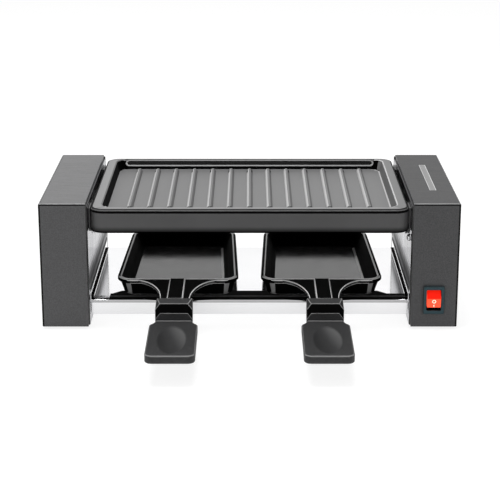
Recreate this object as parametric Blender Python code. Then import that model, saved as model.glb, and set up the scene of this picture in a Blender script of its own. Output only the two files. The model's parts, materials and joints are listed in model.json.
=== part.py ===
"""Table-top raclette grill for two, with a lift-off grill plate and two pans.

Metres, +Z up. Everything is modelled round the middle of the body, standing on z = 0, with X
across the two towers and -Y towards the pan handles. One empty then carries all of it, so that
the origin lies under the middle of the whole outline, handles included.
"""
import math

import bmesh
import bpy
from mathutils import Matrix, Vector

# Allowances shared by all pieces
CLEAR = 0.0003            # gap between pieces that fit or touch
OVERRUN = 0.002           # how far a cutter passes the face that it cuts
OVERLAP = 0.0005          # how deep shapes that are joined reach into each other
TINY = 0.000001           # points closer than this are one point

# Body
BODY_W = 0.300
BODY_D = 0.152
CASE_H = 0.092
CASE_T = 0.0335           # thickness of one tower
FOOT_LIFT = 0.002         # underside of the towers above the table

# Tower casings
CASE_WALL = 0.0022
CASE_EDGE_R = 0.0012
CASE_SOLE_R = 0.002       # rounding along the outer bottom edge
CASE_LIP_CHAMFER = 0.0012
BOSS_R = 0.0035
BOSS_SIDE_INSET = 0.007
BOSS_END_INSET = 0.036
BOSS_HOLE_DEPTH = 0.010

# Screws that close the casings
SCREW_R = 0.0015
SCREW_L = 0.009
SCREW_HEAD_R = 0.0028
SCREW_HEAD_H = 0.0013
REAR_SCREW_INSET = 0.0037
REAR_SCREW_END_INSET = 0.014

# Bottom covers and feet
COVER_T = 0.0025
FOOT_R = 0.006
FOOT_STEM_R = 0.0022
FOOT_CAP_R = 0.003
FOOT_CAP_H = 0.0012
FOOT_END_INSET = 0.016

# Side plates, folded like shallow trays
TRAY_PROUD = 0.001        # the face stands this far inside the casing's rim
TRAY_T = 0.0008
TRAY_BEND_R = 0.001
TRAY_FLANGE = 0.0085
TRAY_FOOT_GAP = 0.0005

# Base plate
BASE_RISE = 0.0175        # its upper face above the towers' underside
BASE_T = 0.0008
BASE_FRONT_INSET = 0.011
BASE_BACK_INSET = 0.008
BASE_FLANGE_H = 0.0117
BASE_LIP_H = 0.008
BASE_LIP_R = 0.001
BASE_BEND_R = 0.0025

# Grill plate
PLATE_FRONT_PAST = 0.0005  # how far it reaches past the towers
PLATE_BACK_PAST = 0.0035
PLATE_SIDE_GAP = 0.002
PLATE_DROP = 0.004        # its rim below the towers' top
PLATE_H = 0.0175
PLATE_WALL = 0.003
PLATE_GROOVE = 0.0028     # groove under the apron, inside the skirt
PLATE_FLOOR_T = 0.0025
PLATE_CORNER_R = 0.010
PLATE_RIM_R = 0.0015
PLATE_NECK_H = 0.0018     # height of the rolled rim above the skirt
PLATE_NECK_IN = 0.0007    # how far the line under the rolled rim is drawn in
APRON_SIDE = 0.008
APRON_FRONT = 0.005
APRON_BACK = 0.006
RECESS_DEPTH = 0.0064
RECESS_SLOPE = 0.0025
RECESS_CORNER_R = 0.006
LEDGE_W = 0.002           # ledge along the recess's back wall
LEDGE_H = 0.0018
RIB_PITCH = 0.0145
RIB_W = 0.0042
RIB_TOP_W = 0.0018
RIB_H = 0.002
RIB_TAPER = 0.004
RIB_END_GAP = 0.0015

# Plate supports
SUPPORT_L = 0.016
SUPPORT_END_INSET = 0.0185
SUPPORT_T = 0.001
SUPPORT_REACH = 0.0092
SUPPORT_H = 0.0168

# Heater
HEATER_R = 0.00325
HEATER_GAP = 0.00125      # above it, to the lower edge of the grill plate
HEATER_RUNS = 4
HEATER_END_INSET = 0.034  # from the towers' ends to its outermost runs
HEATER_SIDE_GAP = 0.0175  # from its outermost centre line to the side plate
HEATER_TAIL = 0.0047      # how far its cold ends pass the side plate
HEATER_BEND_STEPS = 10
PIN_R = 0.0012
PIN_L = 0.006
BEAD_R = 0.003
BEAD_L = 0.0028
BUSH_FLANGE_R = 0.0054
BUSH_NECK_R = 0.0044
BUSH_CRIMP_R = 0.0054
BUSH_FLANGE_T = 0.0015
HOLDER_T = 0.001
HOLDER_MARGIN = 0.002
HOLDER_LEG = 0.0045
STRAP_T = 0.0008
STRAP_W = 0.006
STRAP_FOOT = 0.0051       # length of each foot beside the arch
STRAP_ARC_STEPS = 8

# Pans
PAN_GAP = 0.015           # between the two pans at their widest
PAN_SIDE_GAP = 0.0184     # from a pan's front corner to the side plate
PAN_NARROWING = 0.0106    # how much narrower the back is than the front
PAN_FRONT_INSET = 0.002   # behind the base plate's front edge
PAN_BACK_INSET = 0.003
PAN_H = 0.0142
PAN_CORNER_R = 0.0085
PAN_RIM_W = 0.003
PAN_RIM_H = 0.003
PAN_RIM_EDGE = 0.0005
PAN_OVERHANG = 0.0018     # rim beyond the wall below it
PAN_DRAFT_OUT = 0.0022
PAN_FILLET_OUT = 0.004
PAN_DRAFT_IN = 0.0026
PAN_FILLET_IN = 0.0054
PAN_FLOOR_T = 0.0014
FILLET_STEPS = 3

# Tangs
TANG_T = 0.0026
TANG_L = 0.0469
TANG_NECK_W = 0.0206
TANG_FLARE = 0.016        # how far each side of the tang opens out at the rim
TANG_FLARE_L = 0.034
TANG_ARC_STEPS = 8
CHANNEL_W = 0.0107
CHANNEL_H = 0.0008
TONGUE_W = 0.014
TONGUE_T = 0.0014
TONGUE_L = 0.0100

# Handles
NECK_W = 0.0245
NECK_FLARE = 0.0008       # the neck's gain on each side up to the steps
NECK_L = 0.0124
NECK_RISE = 0.0012        # its top above the pan's rim
NECK_T = 0.0130
STEP_UPPER_H = 0.0068
STEP_LOWER_H = 0.0057
STEP_TREAD = 0.0009
STEP_SIDE_W = 0.0037      # width of the slanted sides of the steps
STEP_SIDE_H = 0.0050
PADDLE_L = 0.0650
PADDLE_W = 0.0334
PADDLE_SHOULDER = 0.0035
PADDLE_DROP = 0.0012
PADDLE_T = 0.0058
PADDLE_EDGE = 0.0008
PADDLE_CORNER_R = 0.0052
DIMPLE_W = 0.020
DIMPLE_L = 0.052
DIMPLE_DEPTH = 0.0013
HANDLE_SCREW_R = 0.0013
HANDLE_SCREW_HEAD_R = 0.0026
HANDLE_SCREW_HEAD_H = 0.0015
HANDLE_SCREW_SINK = 0.002
HANDLE_SCREW_BACK = 0.0051

# Rocker switch
SWITCH_SIDE_INSET = 0.0174
SWITCH_RISE = 0.0205
BEZEL_W = 0.0154
BEZEL_H = 0.021
BEZEL_T = 0.0015
BEZEL_EDGE = 0.0005
SWITCH_BODY_W = 0.013
SWITCH_BODY_H = 0.019
SWITCH_BODY_L = 0.0145
ROCKER_W = 0.0099
ROCKER_HALF_H = 0.0064
ROCKER_RIDGE = 0.0070     # ridge in front of the hinge
ROCKER_ENDS = 0.0046      # ends in front of the hinge
ROCKER_ROOT = 0.0022      # heel behind the hinge
ROCKER_ROOT_HALF_H = 0.0030
ROCKER_TILT = math.radians(12)
ROCKER_DEPTH = 0.0034     # hinge behind the casing's front face, taken inwards
ROCKER_GAP = 0.0004
TRUNNION_R = 0.0010
TRUNNION_L = 0.0008
SPADE_W = 0.0048
SPADE_T = 0.0008
SPADE_L = 0.008
SPADE_SPREAD = 0.010

# Terminal block, thermal cut-out and wires, in the right tower
BLOCK_DEPTH = 0.010
BLOCK_L = 0.014
BLOCK_FRONT = 0.016
BLOCK_RISE = 0.020
BLOCK_PITCH = 0.008
BLOCK_POLES = 3
BLOCK_WELL_R = 0.0018
BLOCK_WELL_DEPTH = 0.003
CUTOUT_R = 0.0075
CUTOUT_H = 0.008
CUTOUT_BACK = -0.008
CUTOUT_DROP = 0.016       # its middle below the heater
CUTOUT_PLATE_L = 0.024
CUTOUT_PLATE_H = 0.012
CUTOUT_PLATE_T = 0.001
CUTOUT_PIN_R = 0.0011
CUTOUT_PIN_L = 0.006
CUTOUT_PIN_SPREAD = 0.010
WIRE_R = 0.0011
WIRE_STUB = 0.004         # straight run where a wire leaves a terminal
WIRE_LANE = 0.0205        # middle of the free space, out from the side plate's back
EARTH_INSET = 0.0078      # from the casing's front wall
EARTH_DROP = 0.0057       # below the ledge of the plate support
EARTH_R = 0.0016
EARTH_HEAD_R = 0.0026
EARTH_HEAD_H = 0.0025
EARTH_L = 0.007
EARTH_NUT_R = 0.0031
EARTH_NUT_T = 0.0025
EARTH_TAG_R = 0.0034
EARTH_TAG_T = 0.0008
EARTH_TAG_TAIL = 0.006
EARTH_TAG_TAIL_W = 0.0024

# Cord gland and badge strip
GLAND_RISE = 0.018
GLAND_BORE_R = 0.0036
GLAND_NECK_R = 0.0046
GLAND_FLANGE_R = 0.0068
GLAND_FLANGE_T = 0.002
BADGE_SIDE_INSET = 0.016
BADGE_W = 0.0048
BADGE_L = 0.078
BADGE_BACK = 0.001        # its middle behind the body's middle
BADGE_T = 0.0005
BADGE_PROUD = 0.0001

# Segments of turned pieces
ROUND_FINE = 24
ROUND_MEDIUM = 16
ROUND_COARSE = 12

# Places worked out from the sizes
CASE_BOTTOM = FOOT_LIFT
CASE_TOP = CASE_BOTTOM + CASE_H
CASE_OUT_X = BODY_W / 2
RIM_X = CASE_OUT_X - CASE_T
WALL_X = RIM_X - TRAY_PROUD
TRAY_BACK_X = WALL_X + TRAY_T
TOWER_X = (CASE_OUT_X + RIM_X) / 2
FACE_Y = BODY_D / 2
INNER_Y = FACE_Y - CASE_WALL
COVER_TOP = CASE_BOTTOM + COVER_T
FLOOR_Z = COVER_TOP + CLEAR
BOSS_X = CASE_OUT_X - BOSS_SIDE_INSET
BOSS_Y = FACE_Y - BOSS_END_INSET
FOOT_Y = FACE_Y - FOOT_END_INSET
BASE_TOP = CASE_BOTTOM + BASE_RISE
BASE_FRONT = FACE_Y - BASE_FRONT_INSET
BASE_BACK = FACE_Y - BASE_BACK_INSET
PLATE_TOP = CASE_TOP - PLATE_DROP
PLATE_BOTTOM = PLATE_TOP - PLATE_H
PLATE_X = WALL_X - PLATE_SIDE_GAP
PLATE_FRONT = FACE_Y + PLATE_FRONT_PAST
PLATE_BACK = FACE_Y + PLATE_BACK_PAST
RECESS_X = PLATE_X - PLATE_RIM_R - APRON_SIDE - RECESS_SLOPE
RIB_COUNT = round(2 * RECESS_X / RIB_PITCH) - 1
RECESS_FLOOR = PLATE_TOP - RECESS_DEPTH
SUPPORT_TOP = PLATE_BOTTOM - CLEAR
SUPPORT_Y = PLATE_FRONT - SUPPORT_END_INSET
HEATER_Z = PLATE_BOTTOM - HEATER_GAP - HEATER_R
HEATER_PITCH = 2 * (FACE_Y - HEATER_END_INSET) / (HEATER_RUNS - 1)
HEATER_BEND_R = HEATER_PITCH / 2
HEATER_X = WALL_X - HEATER_SIDE_GAP
HEATER_END_X = TRAY_BACK_X + HEATER_TAIL
HEATER_YS = [(run - (HEATER_RUNS - 1) / 2) * HEATER_PITCH for run in range(HEATER_RUNS)]
PAN_W_FRONT = WALL_X - PAN_SIDE_GAP - PAN_GAP / 2
PAN_W_BACK = PAN_W_FRONT - PAN_NARROWING
PAN_FRONT = BASE_FRONT - PAN_FRONT_INSET
PAN_BACK = BASE_BACK - PAN_BACK_INSET
PAN_X = (PAN_W_FRONT + PAN_GAP) / 2
PAN_BOTTOM = BASE_TOP + CLEAR
PAN_TOP = PAN_BOTTOM + PAN_H
TANG_DROP = (PAN_RIM_H - TANG_T) / 2
TANG_TOP = PAN_TOP - TANG_DROP
HANDLE_START = -(PAN_FRONT + TANG_L)
NECK_TOP = PAN_TOP + NECK_RISE
STEP_Y = HANDLE_START - NECK_L
TONGUE_TOP = TANG_TOP - (TANG_T - TONGUE_T) / 2
PADDLE_TOP = NECK_TOP - STEP_UPPER_H - STEP_LOWER_H
PADDLE_START = STEP_Y - STEP_TREAD
HANDLE_TIP = PADDLE_START - PADDLE_L
SWITCH_X = CASE_OUT_X - SWITCH_SIDE_INSET
SWITCH_Z = CASE_BOTTOM + SWITCH_RISE
BEZEL_BACK_Y = -FACE_Y - CLEAR
BEZEL_FRONT_Y = BEZEL_BACK_Y - BEZEL_T
ROCKER_Y = -FACE_Y + ROCKER_DEPTH
ROCKER_OPENING_HALF_H = math.hypot(ROCKER_HALF_H, ROCKER_ENDS) - ROCKER_GAP + CLEAR
GLAND_Z = CASE_BOTTOM + GLAND_RISE
CUTOUT_Z = HEATER_Z - CUTOUT_DROP
EARTH_Y = -INNER_Y + EARTH_INSET
EARTH_Z = SUPPORT_TOP - EARTH_DROP
BACKMOST = max(PLATE_BACK, FACE_Y + CLEAR + max(SCREW_HEAD_H, GLAND_FLANGE_T))
FRAME_Y = -(HANDLE_TIP + BACKMOST) / 2

# Colours: name, colour, roughness, metallic
FINISHES = {
    "case_paint": ((0.075, 0.075, 0.078), 0.50, 0.0),
    "cover_paint": ((0.050, 0.050, 0.052), 0.60, 0.0),
    "polished_steel": ((0.72, 0.72, 0.73), 0.12, 1.0),
    "bright_steel": ((0.62, 0.62, 0.63), 0.25, 1.0),
    "black_enamel": ((0.020, 0.020, 0.021), 0.30, 0.0),
    "plate_coating": ((0.030, 0.030, 0.031), 0.28, 0.0),
    "pan_coating": ((0.018, 0.018, 0.018), 0.22, 0.0),
    "handle_plastic": ((0.032, 0.032, 0.033), 0.50, 0.0),
    "heater_steel": ((0.30, 0.29, 0.28), 0.40, 1.0),
    "ceramic": ((0.80, 0.78, 0.72), 0.60, 0.0),
    "foot_rubber": ((0.020, 0.020, 0.020), 0.85, 0.0),
    "switch_plastic": ((0.015, 0.016, 0.018), 0.35, 0.0),
    "rocker_red": ((0.85, 0.03, 0.02), 0.20, 0.0),
    "terminal_brass": ((0.72, 0.55, 0.27), 0.30, 1.0),
    "badge_metal": ((0.62, 0.62, 0.62), 0.35, 1.0),
    "wire_brown": ((0.22, 0.10, 0.05), 0.50, 0.0),
    "wire_blue": ((0.05, 0.14, 0.45), 0.50, 0.0),
    "wire_earth": ((0.25, 0.45, 0.06), 0.50, 0.0),
}


def clear_scene():
    for obj in list(bpy.data.objects):
        bpy.data.objects.remove(obj, do_unlink=True)


def finish(name):
    """The named material, made once."""
    material = bpy.data.materials.get(name)
    if material is None:
        colour, roughness, metallic = FINISHES[name]
        material = bpy.data.materials.new(name)
        material.use_nodes = True
        shader = material.node_tree.nodes["Principled BSDF"]
        shader.inputs["Base Color"].default_value = (*colour, 1.0)
        shader.inputs["Roughness"].default_value = roughness
        shader.inputs["Metallic"].default_value = metallic
        material.diffuse_color = (*colour, 1.0)
    return material


def empty(name, place, parent=None):
    mark = bpy.data.objects.new(name, None)
    bpy.context.scene.collection.objects.link(mark)
    mark.location = place
    mark.parent = parent
    return mark


def link(name, data, parent):
    obj = bpy.data.objects.new(name, data)
    bpy.context.scene.collection.objects.link(obj)
    obj.parent = parent
    return obj


def piece(name, shape, colour, parent, origin=(0, 0, 0)):
    """One named sub-part, whose mesh is moved so that the parent's place is its origin."""
    bmesh.ops.translate(shape, vec=-Vector(origin), verts=shape.verts)
    mesh = bpy.data.meshes.new(name)
    shape.to_mesh(mesh)
    shape.free()
    mesh.materials.append(finish(colour))
    mesh.shade_smooth()
    mesh.set_sharp_from_angle(angle=math.radians(35))
    return link(name, mesh, parent)


def helper(name, shape, parent, origin=(0, 0, 0)):
    """A hidden shape that cuts or is joined to a sub-part."""
    obj = piece(name, shape, "bright_steel", parent, origin)
    obj.hide_render = True
    obj.display_type = "WIRE"
    return obj


def combine(obj, other, operation):
    step = obj.modifiers.new(f"{operation.lower()} {other.name}", "BOOLEAN")
    step.operation = operation
    step.solver = "EXACT"
    step.object = other


def cut(obj, other):
    combine(obj, other, "DIFFERENCE")


def fuse(obj, other):
    combine(obj, other, "UNION")


def block(corner, opposite):
    """A box between two opposite corners."""
    low = Vector(map(min, corner, opposite))
    high = Vector(map(max, corner, opposite))
    shape = bmesh.new()
    bmesh.ops.create_cube(shape, size=1.0)
    bmesh.ops.scale(shape, vec=high - low, verts=shape.verts)
    bmesh.ops.translate(shape, vec=(high + low) / 2, verts=shape.verts)
    return shape


def add(shape, other):
    """Puts a second shape into the first one."""
    mesh = bpy.data.meshes.new("passing")
    other.to_mesh(mesh)
    other.free()
    shape.from_mesh(mesh)
    bpy.data.meshes.remove(mesh)
    return shape


def gather(shapes):
    whole = bmesh.new()
    for shape in shapes:
        add(whole, shape)
    return whole


def edges_on(shape, planes):
    """The edges that lie on each given plane, written as {axis: value}."""
    return [
        edge for edge in shape.edges
        if all(abs(vert.co[axis] - value) < TINY for vert in edge.verts for axis, value in planes.items())
    ]


def round_edges(shape, edges, radius, steps):
    bmesh.ops.bevel(
        shape, geom=edges, offset=radius, segments=steps, profile=0.5, affect="EDGES", clamp_overlap=True
    )


def turned(profile, axis, place, steps=ROUND_MEDIUM):
    """A turned shape: (radius, distance along the axis) pairs, spun round an axis through place."""
    shape = bmesh.new()
    verts = [shape.verts.new((radius, 0, along)) for radius, along in profile]
    edges = [shape.edges.new(pair) for pair in zip(verts, verts[1:])]
    if profile[0][0] > 0:
        edges.append(shape.edges.new((verts[-1], verts[0])))
    bmesh.ops.spin(
        shape, geom=verts + edges, axis=(0, 0, 1), cent=(0, 0, 0), angle=math.tau,
        steps=steps, use_merge=True
    )
    bmesh.ops.remove_doubles(shape, verts=shape.verts, dist=TINY)
    turn = Vector((0, 0, 1)).rotation_difference(Vector(axis)).to_matrix()
    bmesh.ops.rotate(shape, verts=shape.verts, cent=(0, 0, 0), matrix=turn)
    bmesh.ops.translate(shape, vec=place, verts=shape.verts)
    bmesh.ops.recalc_face_normals(shape, faces=shape.faces)
    return shape


def rod(radius, start, end, steps=ROUND_MEDIUM):
    """A round bar between two points."""
    run = Vector(end) - Vector(start)
    profile = [(0, 0), (radius, 0), (radius, run.length), (0, run.length)]
    return turned(profile, run.normalized(), start, steps)


def ring_bar(inner, outer, start, end, steps=ROUND_MEDIUM):
    """A round tube between two points."""
    run = Vector(end) - Vector(start)
    profile = [(inner, 0), (outer, 0), (outer, run.length), (inner, run.length)]
    return turned(profile, run.normalized(), start, steps)


def prism(outline, run):
    """A flat outline in space, pushed along a vector."""
    shape = bmesh.new()
    face = shape.faces.new([shape.verts.new(point) for point in outline])
    pushed = bmesh.ops.extrude_face_region(shape, geom=[face])["geom"]
    bmesh.ops.translate(shape, vec=run, verts=[v for v in pushed if isinstance(v, bmesh.types.BMVert)])
    bmesh.ops.recalc_face_normals(shape, faces=shape.faces)
    return shape


def loft(rings):
    """A closed body through rings that all have the same number of points."""
    shape = bmesh.new()
    rows = [[shape.verts.new(point) for point in ring] for ring in rings]
    for near, far in zip(rows, rows[1:]):
        for index in range(len(near)):
            following = (index + 1) % len(near)
            shape.faces.new((near[index], near[following], far[following], far[index]))
    shape.faces.new(rows[0])
    shape.faces.new(rows[-1])
    bmesh.ops.recalc_face_normals(shape, faces=shape.faces)
    return shape


def arc(centre_a, centre_b, radius_a, radius_b, start, end, steps):
    """Points on an arc of an ellipse in a plane, angles in degrees."""
    points = []
    for step in range(steps + 1):
        angle = math.radians(start + (end - start) * step / steps)
        points.append((centre_a + radius_a * math.cos(angle), centre_b + radius_b * math.sin(angle)))
    return points


def rounded_outline(corners, radius, steps):
    """A convex outline in XY with each corner rounded."""
    points = []
    count = len(corners)
    for index, corner in enumerate(corners):
        corner = Vector(corner)
        back = (Vector(corners[index - 1]) - corner).normalized()
        ahead = (Vector(corners[(index + 1) % count]) - corner).normalized()
        half = back.angle(ahead) / 2
        centre = corner + (back + ahead).normalized() * (radius / math.sin(half))
        first = corner + back * (radius / math.tan(half)) - centre
        sweep = math.pi - 2 * half
        side = 1 if back.x * ahead.y - back.y * ahead.x < 0 else -1
        for step in range(steps + 1):
            turn = Matrix.Rotation(side * sweep * step / steps, 2)
            points.append(centre + turn @ first)
    return points


def smooth_route(points, per_span=5):
    """Points on a smooth curve through the given points."""
    points = [Vector(point) for point in points]
    padded = [points[0] * 2 - points[1], *points, points[-1] * 2 - points[-2]]
    route = []
    for before, start, end, after in zip(padded, padded[1:], padded[2:], padded[3:]):
        for step in range(per_span):
            t = step / per_span
            route.append((
                start * 2 + (end - before) * t
                + (before * 2 - start * 5 + end * 4 - after) * t * t
                + (start * 3 - before - end * 3 + after) * t ** 3
            ) / 2)
    route.append(points[-1])
    return route


def tube(name, points, radius, colour, parent, sides=2):
    """A round bar along a list of points."""
    curve = bpy.data.curves.new(name, "CURVE")
    curve.dimensions = "3D"
    curve.bevel_depth = radius
    curve.bevel_resolution = sides
    curve.use_fill_caps = True
    line = curve.splines.new("POLY")
    line.points.add(len(points) - 1)
    for spot, point in zip(line.points, points):
        spot.co = (*point, 1)
        spot.radius = 1
    curve.materials.append(finish(colour))
    return link(name, curve, parent)


def screw(under_head, direction, length, shank_r, head_r, head_h, steps=ROUND_COARSE):
    """A screw: under_head is the middle of its head's seat, and its tip points along direction."""
    profile = [(0, -head_h), (head_r, -head_h), (head_r, 0), (shank_r, 0), (shank_r, length), (0, length)]
    return turned(profile, direction, under_head, steps)


def casing(side, parent):
    """A tower's outer shell, open towards the grill and underneath."""
    name = side_name("casing", side)
    rim, out = side * RIM_X, side * CASE_OUT_X
    shape = block((rim, -FACE_Y, CASE_BOTTOM), (out, FACE_Y, CASE_TOP))
    round_edges(shape, edges_on(shape, {0: out, 2: CASE_BOTTOM}), CASE_SOLE_R, 3)
    outer = []
    for planes in ({0: out, 2: CASE_TOP}, {1: -FACE_Y, 2: CASE_TOP}, {1: FACE_Y, 2: CASE_TOP},
                   {0: out, 1: -FACE_Y}, {0: out, 1: FACE_Y}):
        outer += edges_on(shape, planes)
    round_edges(shape, outer, CASE_EDGE_R, 2)
    round_edges(shape, edges_on(shape, {0: rim, 1: -FACE_Y}), CASE_LIP_CHAMFER, 1)
    shell = piece(name, shape, "case_paint", parent)
    cavity = block(
        (rim - side * OVERRUN, -INNER_Y, CASE_BOTTOM - OVERRUN),
        (out - side * CASE_WALL, INNER_Y, CASE_TOP - CASE_WALL),
    )
    cut(shell, helper(f"{name}_cavity", cavity, parent))
    posts = [
        rod(BOSS_R, (side * BOSS_X, y, FLOOR_Z), (side * BOSS_X, y, CASE_TOP - CASE_WALL + OVERLAP))
        for y in (-BOSS_Y, BOSS_Y)
    ]
    fuse(shell, helper(f"{name}_posts", gather(posts), parent))
    cut(shell, helper(f"{name}_holes", gather(casing_holes(side)), parent))
    return shell


def casing_holes(side):
    """What is cut out of a casing: screw holes, and on the right the switch, gland and badge."""
    holes = []
    for y in (-BOSS_Y, BOSS_Y):
        foot = (side * BOSS_X, y, FLOOR_Z - OVERRUN)
        holes.append(rod(SCREW_R + CLEAR, foot, (side * BOSS_X, y, FLOOR_Z + BOSS_HOLE_DEPTH), ROUND_COARSE))
    for place in rear_screw_places(side):
        start = place - Vector((0, CASE_WALL + OVERRUN, 0))
        holes.append(rod(SCREW_R + CLEAR, start, place + Vector((0, OVERRUN, 0)), ROUND_COARSE))
    if side > 0:
        half_w, half_h = SWITCH_BODY_W / 2 + CLEAR, SWITCH_BODY_H / 2 + CLEAR
        holes.append(block(
            (SWITCH_X - half_w, -FACE_Y - OVERRUN, SWITCH_Z - half_h),
            (SWITCH_X + half_w, -INNER_Y + OVERRUN, SWITCH_Z + half_h),
        ))
        holes.append(rod(
            GLAND_NECK_R + CLEAR, (TOWER_X, INNER_Y - OVERRUN, GLAND_Z),
            (TOWER_X, FACE_Y + OVERRUN, GLAND_Z), ROUND_FINE
        ))
        (low_x, low_y), (high_x, high_y) = badge_corners(CLEAR)
        pocket = CASE_TOP + BADGE_PROUD - BADGE_T - CLEAR
        holes.append(block((low_x, low_y, pocket), (high_x, high_y, CASE_TOP + OVERRUN)))
    return holes


def badge_corners(margin):
    middle = CASE_OUT_X - BADGE_SIDE_INSET
    half_w, half_l = BADGE_W / 2 + margin, BADGE_L / 2 + margin
    return (middle - half_w, BADGE_BACK - half_l), (middle + half_w, BADGE_BACK + half_l)


def side_name(name, side):
    return f"{name}_{'right' if side > 0 else 'left'}"


def end_name(name, end):
    return f"{name}_{'back' if end > 0 else 'front'}"


def rear_screw_places(side):
    """Where the rear screws cross the outer face of the casing's back wall."""
    x = side * (TRAY_BACK_X + REAR_SCREW_INSET)
    heights = (CASE_BOTTOM + REAR_SCREW_END_INSET, CASE_TOP - REAR_SCREW_END_INSET)
    return [Vector((x, FACE_Y, z)) for z in heights]


def rear_screws(side, parent):
    for level, place in zip(("lower", "upper"), rear_screw_places(side)):
        seat = place + Vector((0, CLEAR, 0))
        shape = screw(seat, (0, -1, 0), SCREW_L, SCREW_R, SCREW_HEAD_R, SCREW_HEAD_H)
        piece(side_name(f"rear_screw_{level}", side), shape, "bright_steel", parent)


def bottom_cover(side, parent):
    name = side_name("bottom_cover", side)
    near = side * (TRAY_BACK_X + CLEAR)
    far = side * (CASE_OUT_X - CASE_WALL - CLEAR)
    end = INNER_Y - CLEAR
    shape = block((near, -end, CASE_BOTTOM), (far, end, COVER_TOP))
    cover = piece(name, shape, "cover_paint", parent)
    holes = []
    seat = SCREW_HEAD_H + 2 * CLEAR
    for y in (-BOSS_Y, BOSS_Y):
        profile = [
            (0, -OVERRUN), (SCREW_HEAD_R + CLEAR, -OVERRUN), (SCREW_HEAD_R + CLEAR, seat),
            (SCREW_R + CLEAR, seat), (SCREW_R + CLEAR, COVER_T + OVERRUN), (0, COVER_T + OVERRUN),
        ]
        holes.append(turned(profile, (0, 0, 1), (side * BOSS_X, y, CASE_BOTTOM), ROUND_COARSE))
    for y in (-FOOT_Y, FOOT_Y):
        low, high = CASE_BOTTOM - OVERRUN, COVER_TOP + OVERRUN
        holes.append(rod(FOOT_STEM_R + CLEAR, (side * TOWER_X, y, low), (side * TOWER_X, y, high), ROUND_COARSE))
    cut(cover, helper(f"{name}_holes", gather(holes), parent))


def casing_screw(side, end, parent):
    seat = (side * BOSS_X, end * BOSS_Y, CASE_BOTTOM + CLEAR + SCREW_HEAD_H)
    shape = screw(seat, (0, 0, 1), SCREW_L, SCREW_R, SCREW_HEAD_R, SCREW_HEAD_H)
    piece(side_name(end_name("casing_screw", end), side), shape, "bright_steel", parent)


def foot(side, end, parent):
    """A rubber foot, pushed through the bottom cover and held by its cap."""
    pad = FOOT_LIFT - CLEAR
    edge = pad / 3
    cap = FLOOR_Z
    profile = [
        (0, 0), (FOOT_R - edge, 0), (FOOT_R, edge), (FOOT_R, pad), (FOOT_STEM_R, pad),
        (FOOT_STEM_R, cap), (FOOT_CAP_R, cap), (FOOT_STEM_R, cap + FOOT_CAP_H), (0, cap + FOOT_CAP_H),
    ]
    shape = turned(profile, (0, 0, 1), (side * TOWER_X, end * FOOT_Y, 0), ROUND_MEDIUM)
    piece(side_name(end_name("foot", end), side), shape, "foot_rubber", parent)


def side_plate(side, parent):
    """The polished inner wall of a tower, folded like a shallow tray."""
    name = side_name("side_plate", side)
    face, back = side * WALL_X, side * (WALL_X + TRAY_FLANGE)
    bottom, top, end = CASE_BOTTOM + TRAY_FOOT_GAP, CASE_TOP - CASE_WALL - CLEAR, INNER_Y - CLEAR
    shape = block((face, -end, bottom), (back, end, top))
    bends = edges_on(shape, {0: face, 1: -end}) + edges_on(shape, {0: face, 1: end})
    bends += edges_on(shape, {0: face, 2: top})
    round_edges(shape, bends, TRAY_BEND_R, 2)
    plate = piece(name, shape, "polished_steel", parent)
    inside = side * TRAY_BACK_X
    hollow = block(
        (inside, -end + TRAY_T, bottom - OVERRUN), (back + side * OVERRUN, end - TRAY_T, top - TRAY_T)
    )
    cut(plate, helper(f"{name}_hollow", hollow, parent))
    trim = block((inside, -end - OVERRUN, bottom - OVERRUN), (back + side * OVERRUN, end + OVERRUN, FLOOR_Z))
    cut(plate, helper(f"{name}_trim", trim, parent))
    cut(plate, helper(f"{name}_holes", gather(side_plate_holes(side)), parent))


def through_wall(radius, side, y, z, steps=ROUND_COARSE):
    """A round cutter through the side plate's face."""
    return rod(radius, (side * (WALL_X - OVERRUN), y, z), (side * (TRAY_BACK_X + OVERRUN), y, z), steps)


def side_plate_holes(side):
    holes = []
    for place in rear_screw_places(side):
        start = place - Vector((0, 2 * CASE_WALL + OVERRUN, 0))
        holes.append(rod(SCREW_R + CLEAR, start, place, ROUND_COARSE))
    if side > 0:
        for y in (HEATER_YS[0], HEATER_YS[-1]):
            holes.append(through_wall(BUSH_NECK_R + CLEAR, side, y, HEATER_Z, ROUND_MEDIUM))
        holes.append(through_wall(EARTH_R + CLEAR, side, EARTH_Y, EARTH_Z))
    return holes


def base_plate(parent):
    """One bent sheet: flat floor, side lips turned up, front and back flanges turned down."""
    side_x = WALL_X - CLEAR - BASE_T
    flat_x = side_x - BASE_LIP_R
    cove = arc(flat_x, BASE_LIP_R, BASE_LIP_R, BASE_LIP_R, -90, 0, 4)
    right = cove + [(side_x, BASE_LIP_H)]
    columns = [(-x, z) for x, z in reversed(right)] + right
    front = arc(-BASE_FRONT + BASE_BEND_R, -BASE_BEND_R, BASE_BEND_R, BASE_BEND_R, 180, 90, 4)
    back = arc(BASE_BACK - BASE_BEND_R, -BASE_BEND_R, BASE_BEND_R, BASE_BEND_R, 90, 0, 4)
    rows = [(-BASE_FRONT, -BASE_FLANGE_H), *front, *back, (BASE_BACK, -BASE_FLANGE_H)]
    shape = bmesh.new()
    spots = {}
    for i, (x, rise) in enumerate(columns):
        for j, (y, fall) in enumerate(rows):
            if abs(rise) < TINY or abs(fall) < TINY:
                spots[i, j] = shape.verts.new((x, y, BASE_TOP + rise + fall))
    for i in range(len(columns) - 1):
        for j in range(len(rows) - 1):
            corners = [(i, j), (i + 1, j), (i + 1, j + 1), (i, j + 1)]
            if all(corner in spots for corner in corners):
                shape.faces.new([spots[corner] for corner in corners])
    sheet = piece("base_plate", shape, "polished_steel", parent)
    thick = sheet.modifiers.new("sheet", "SOLIDIFY")
    thick.thickness = BASE_T
    thick.offset = -1
    thick.use_even_offset = True


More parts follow.
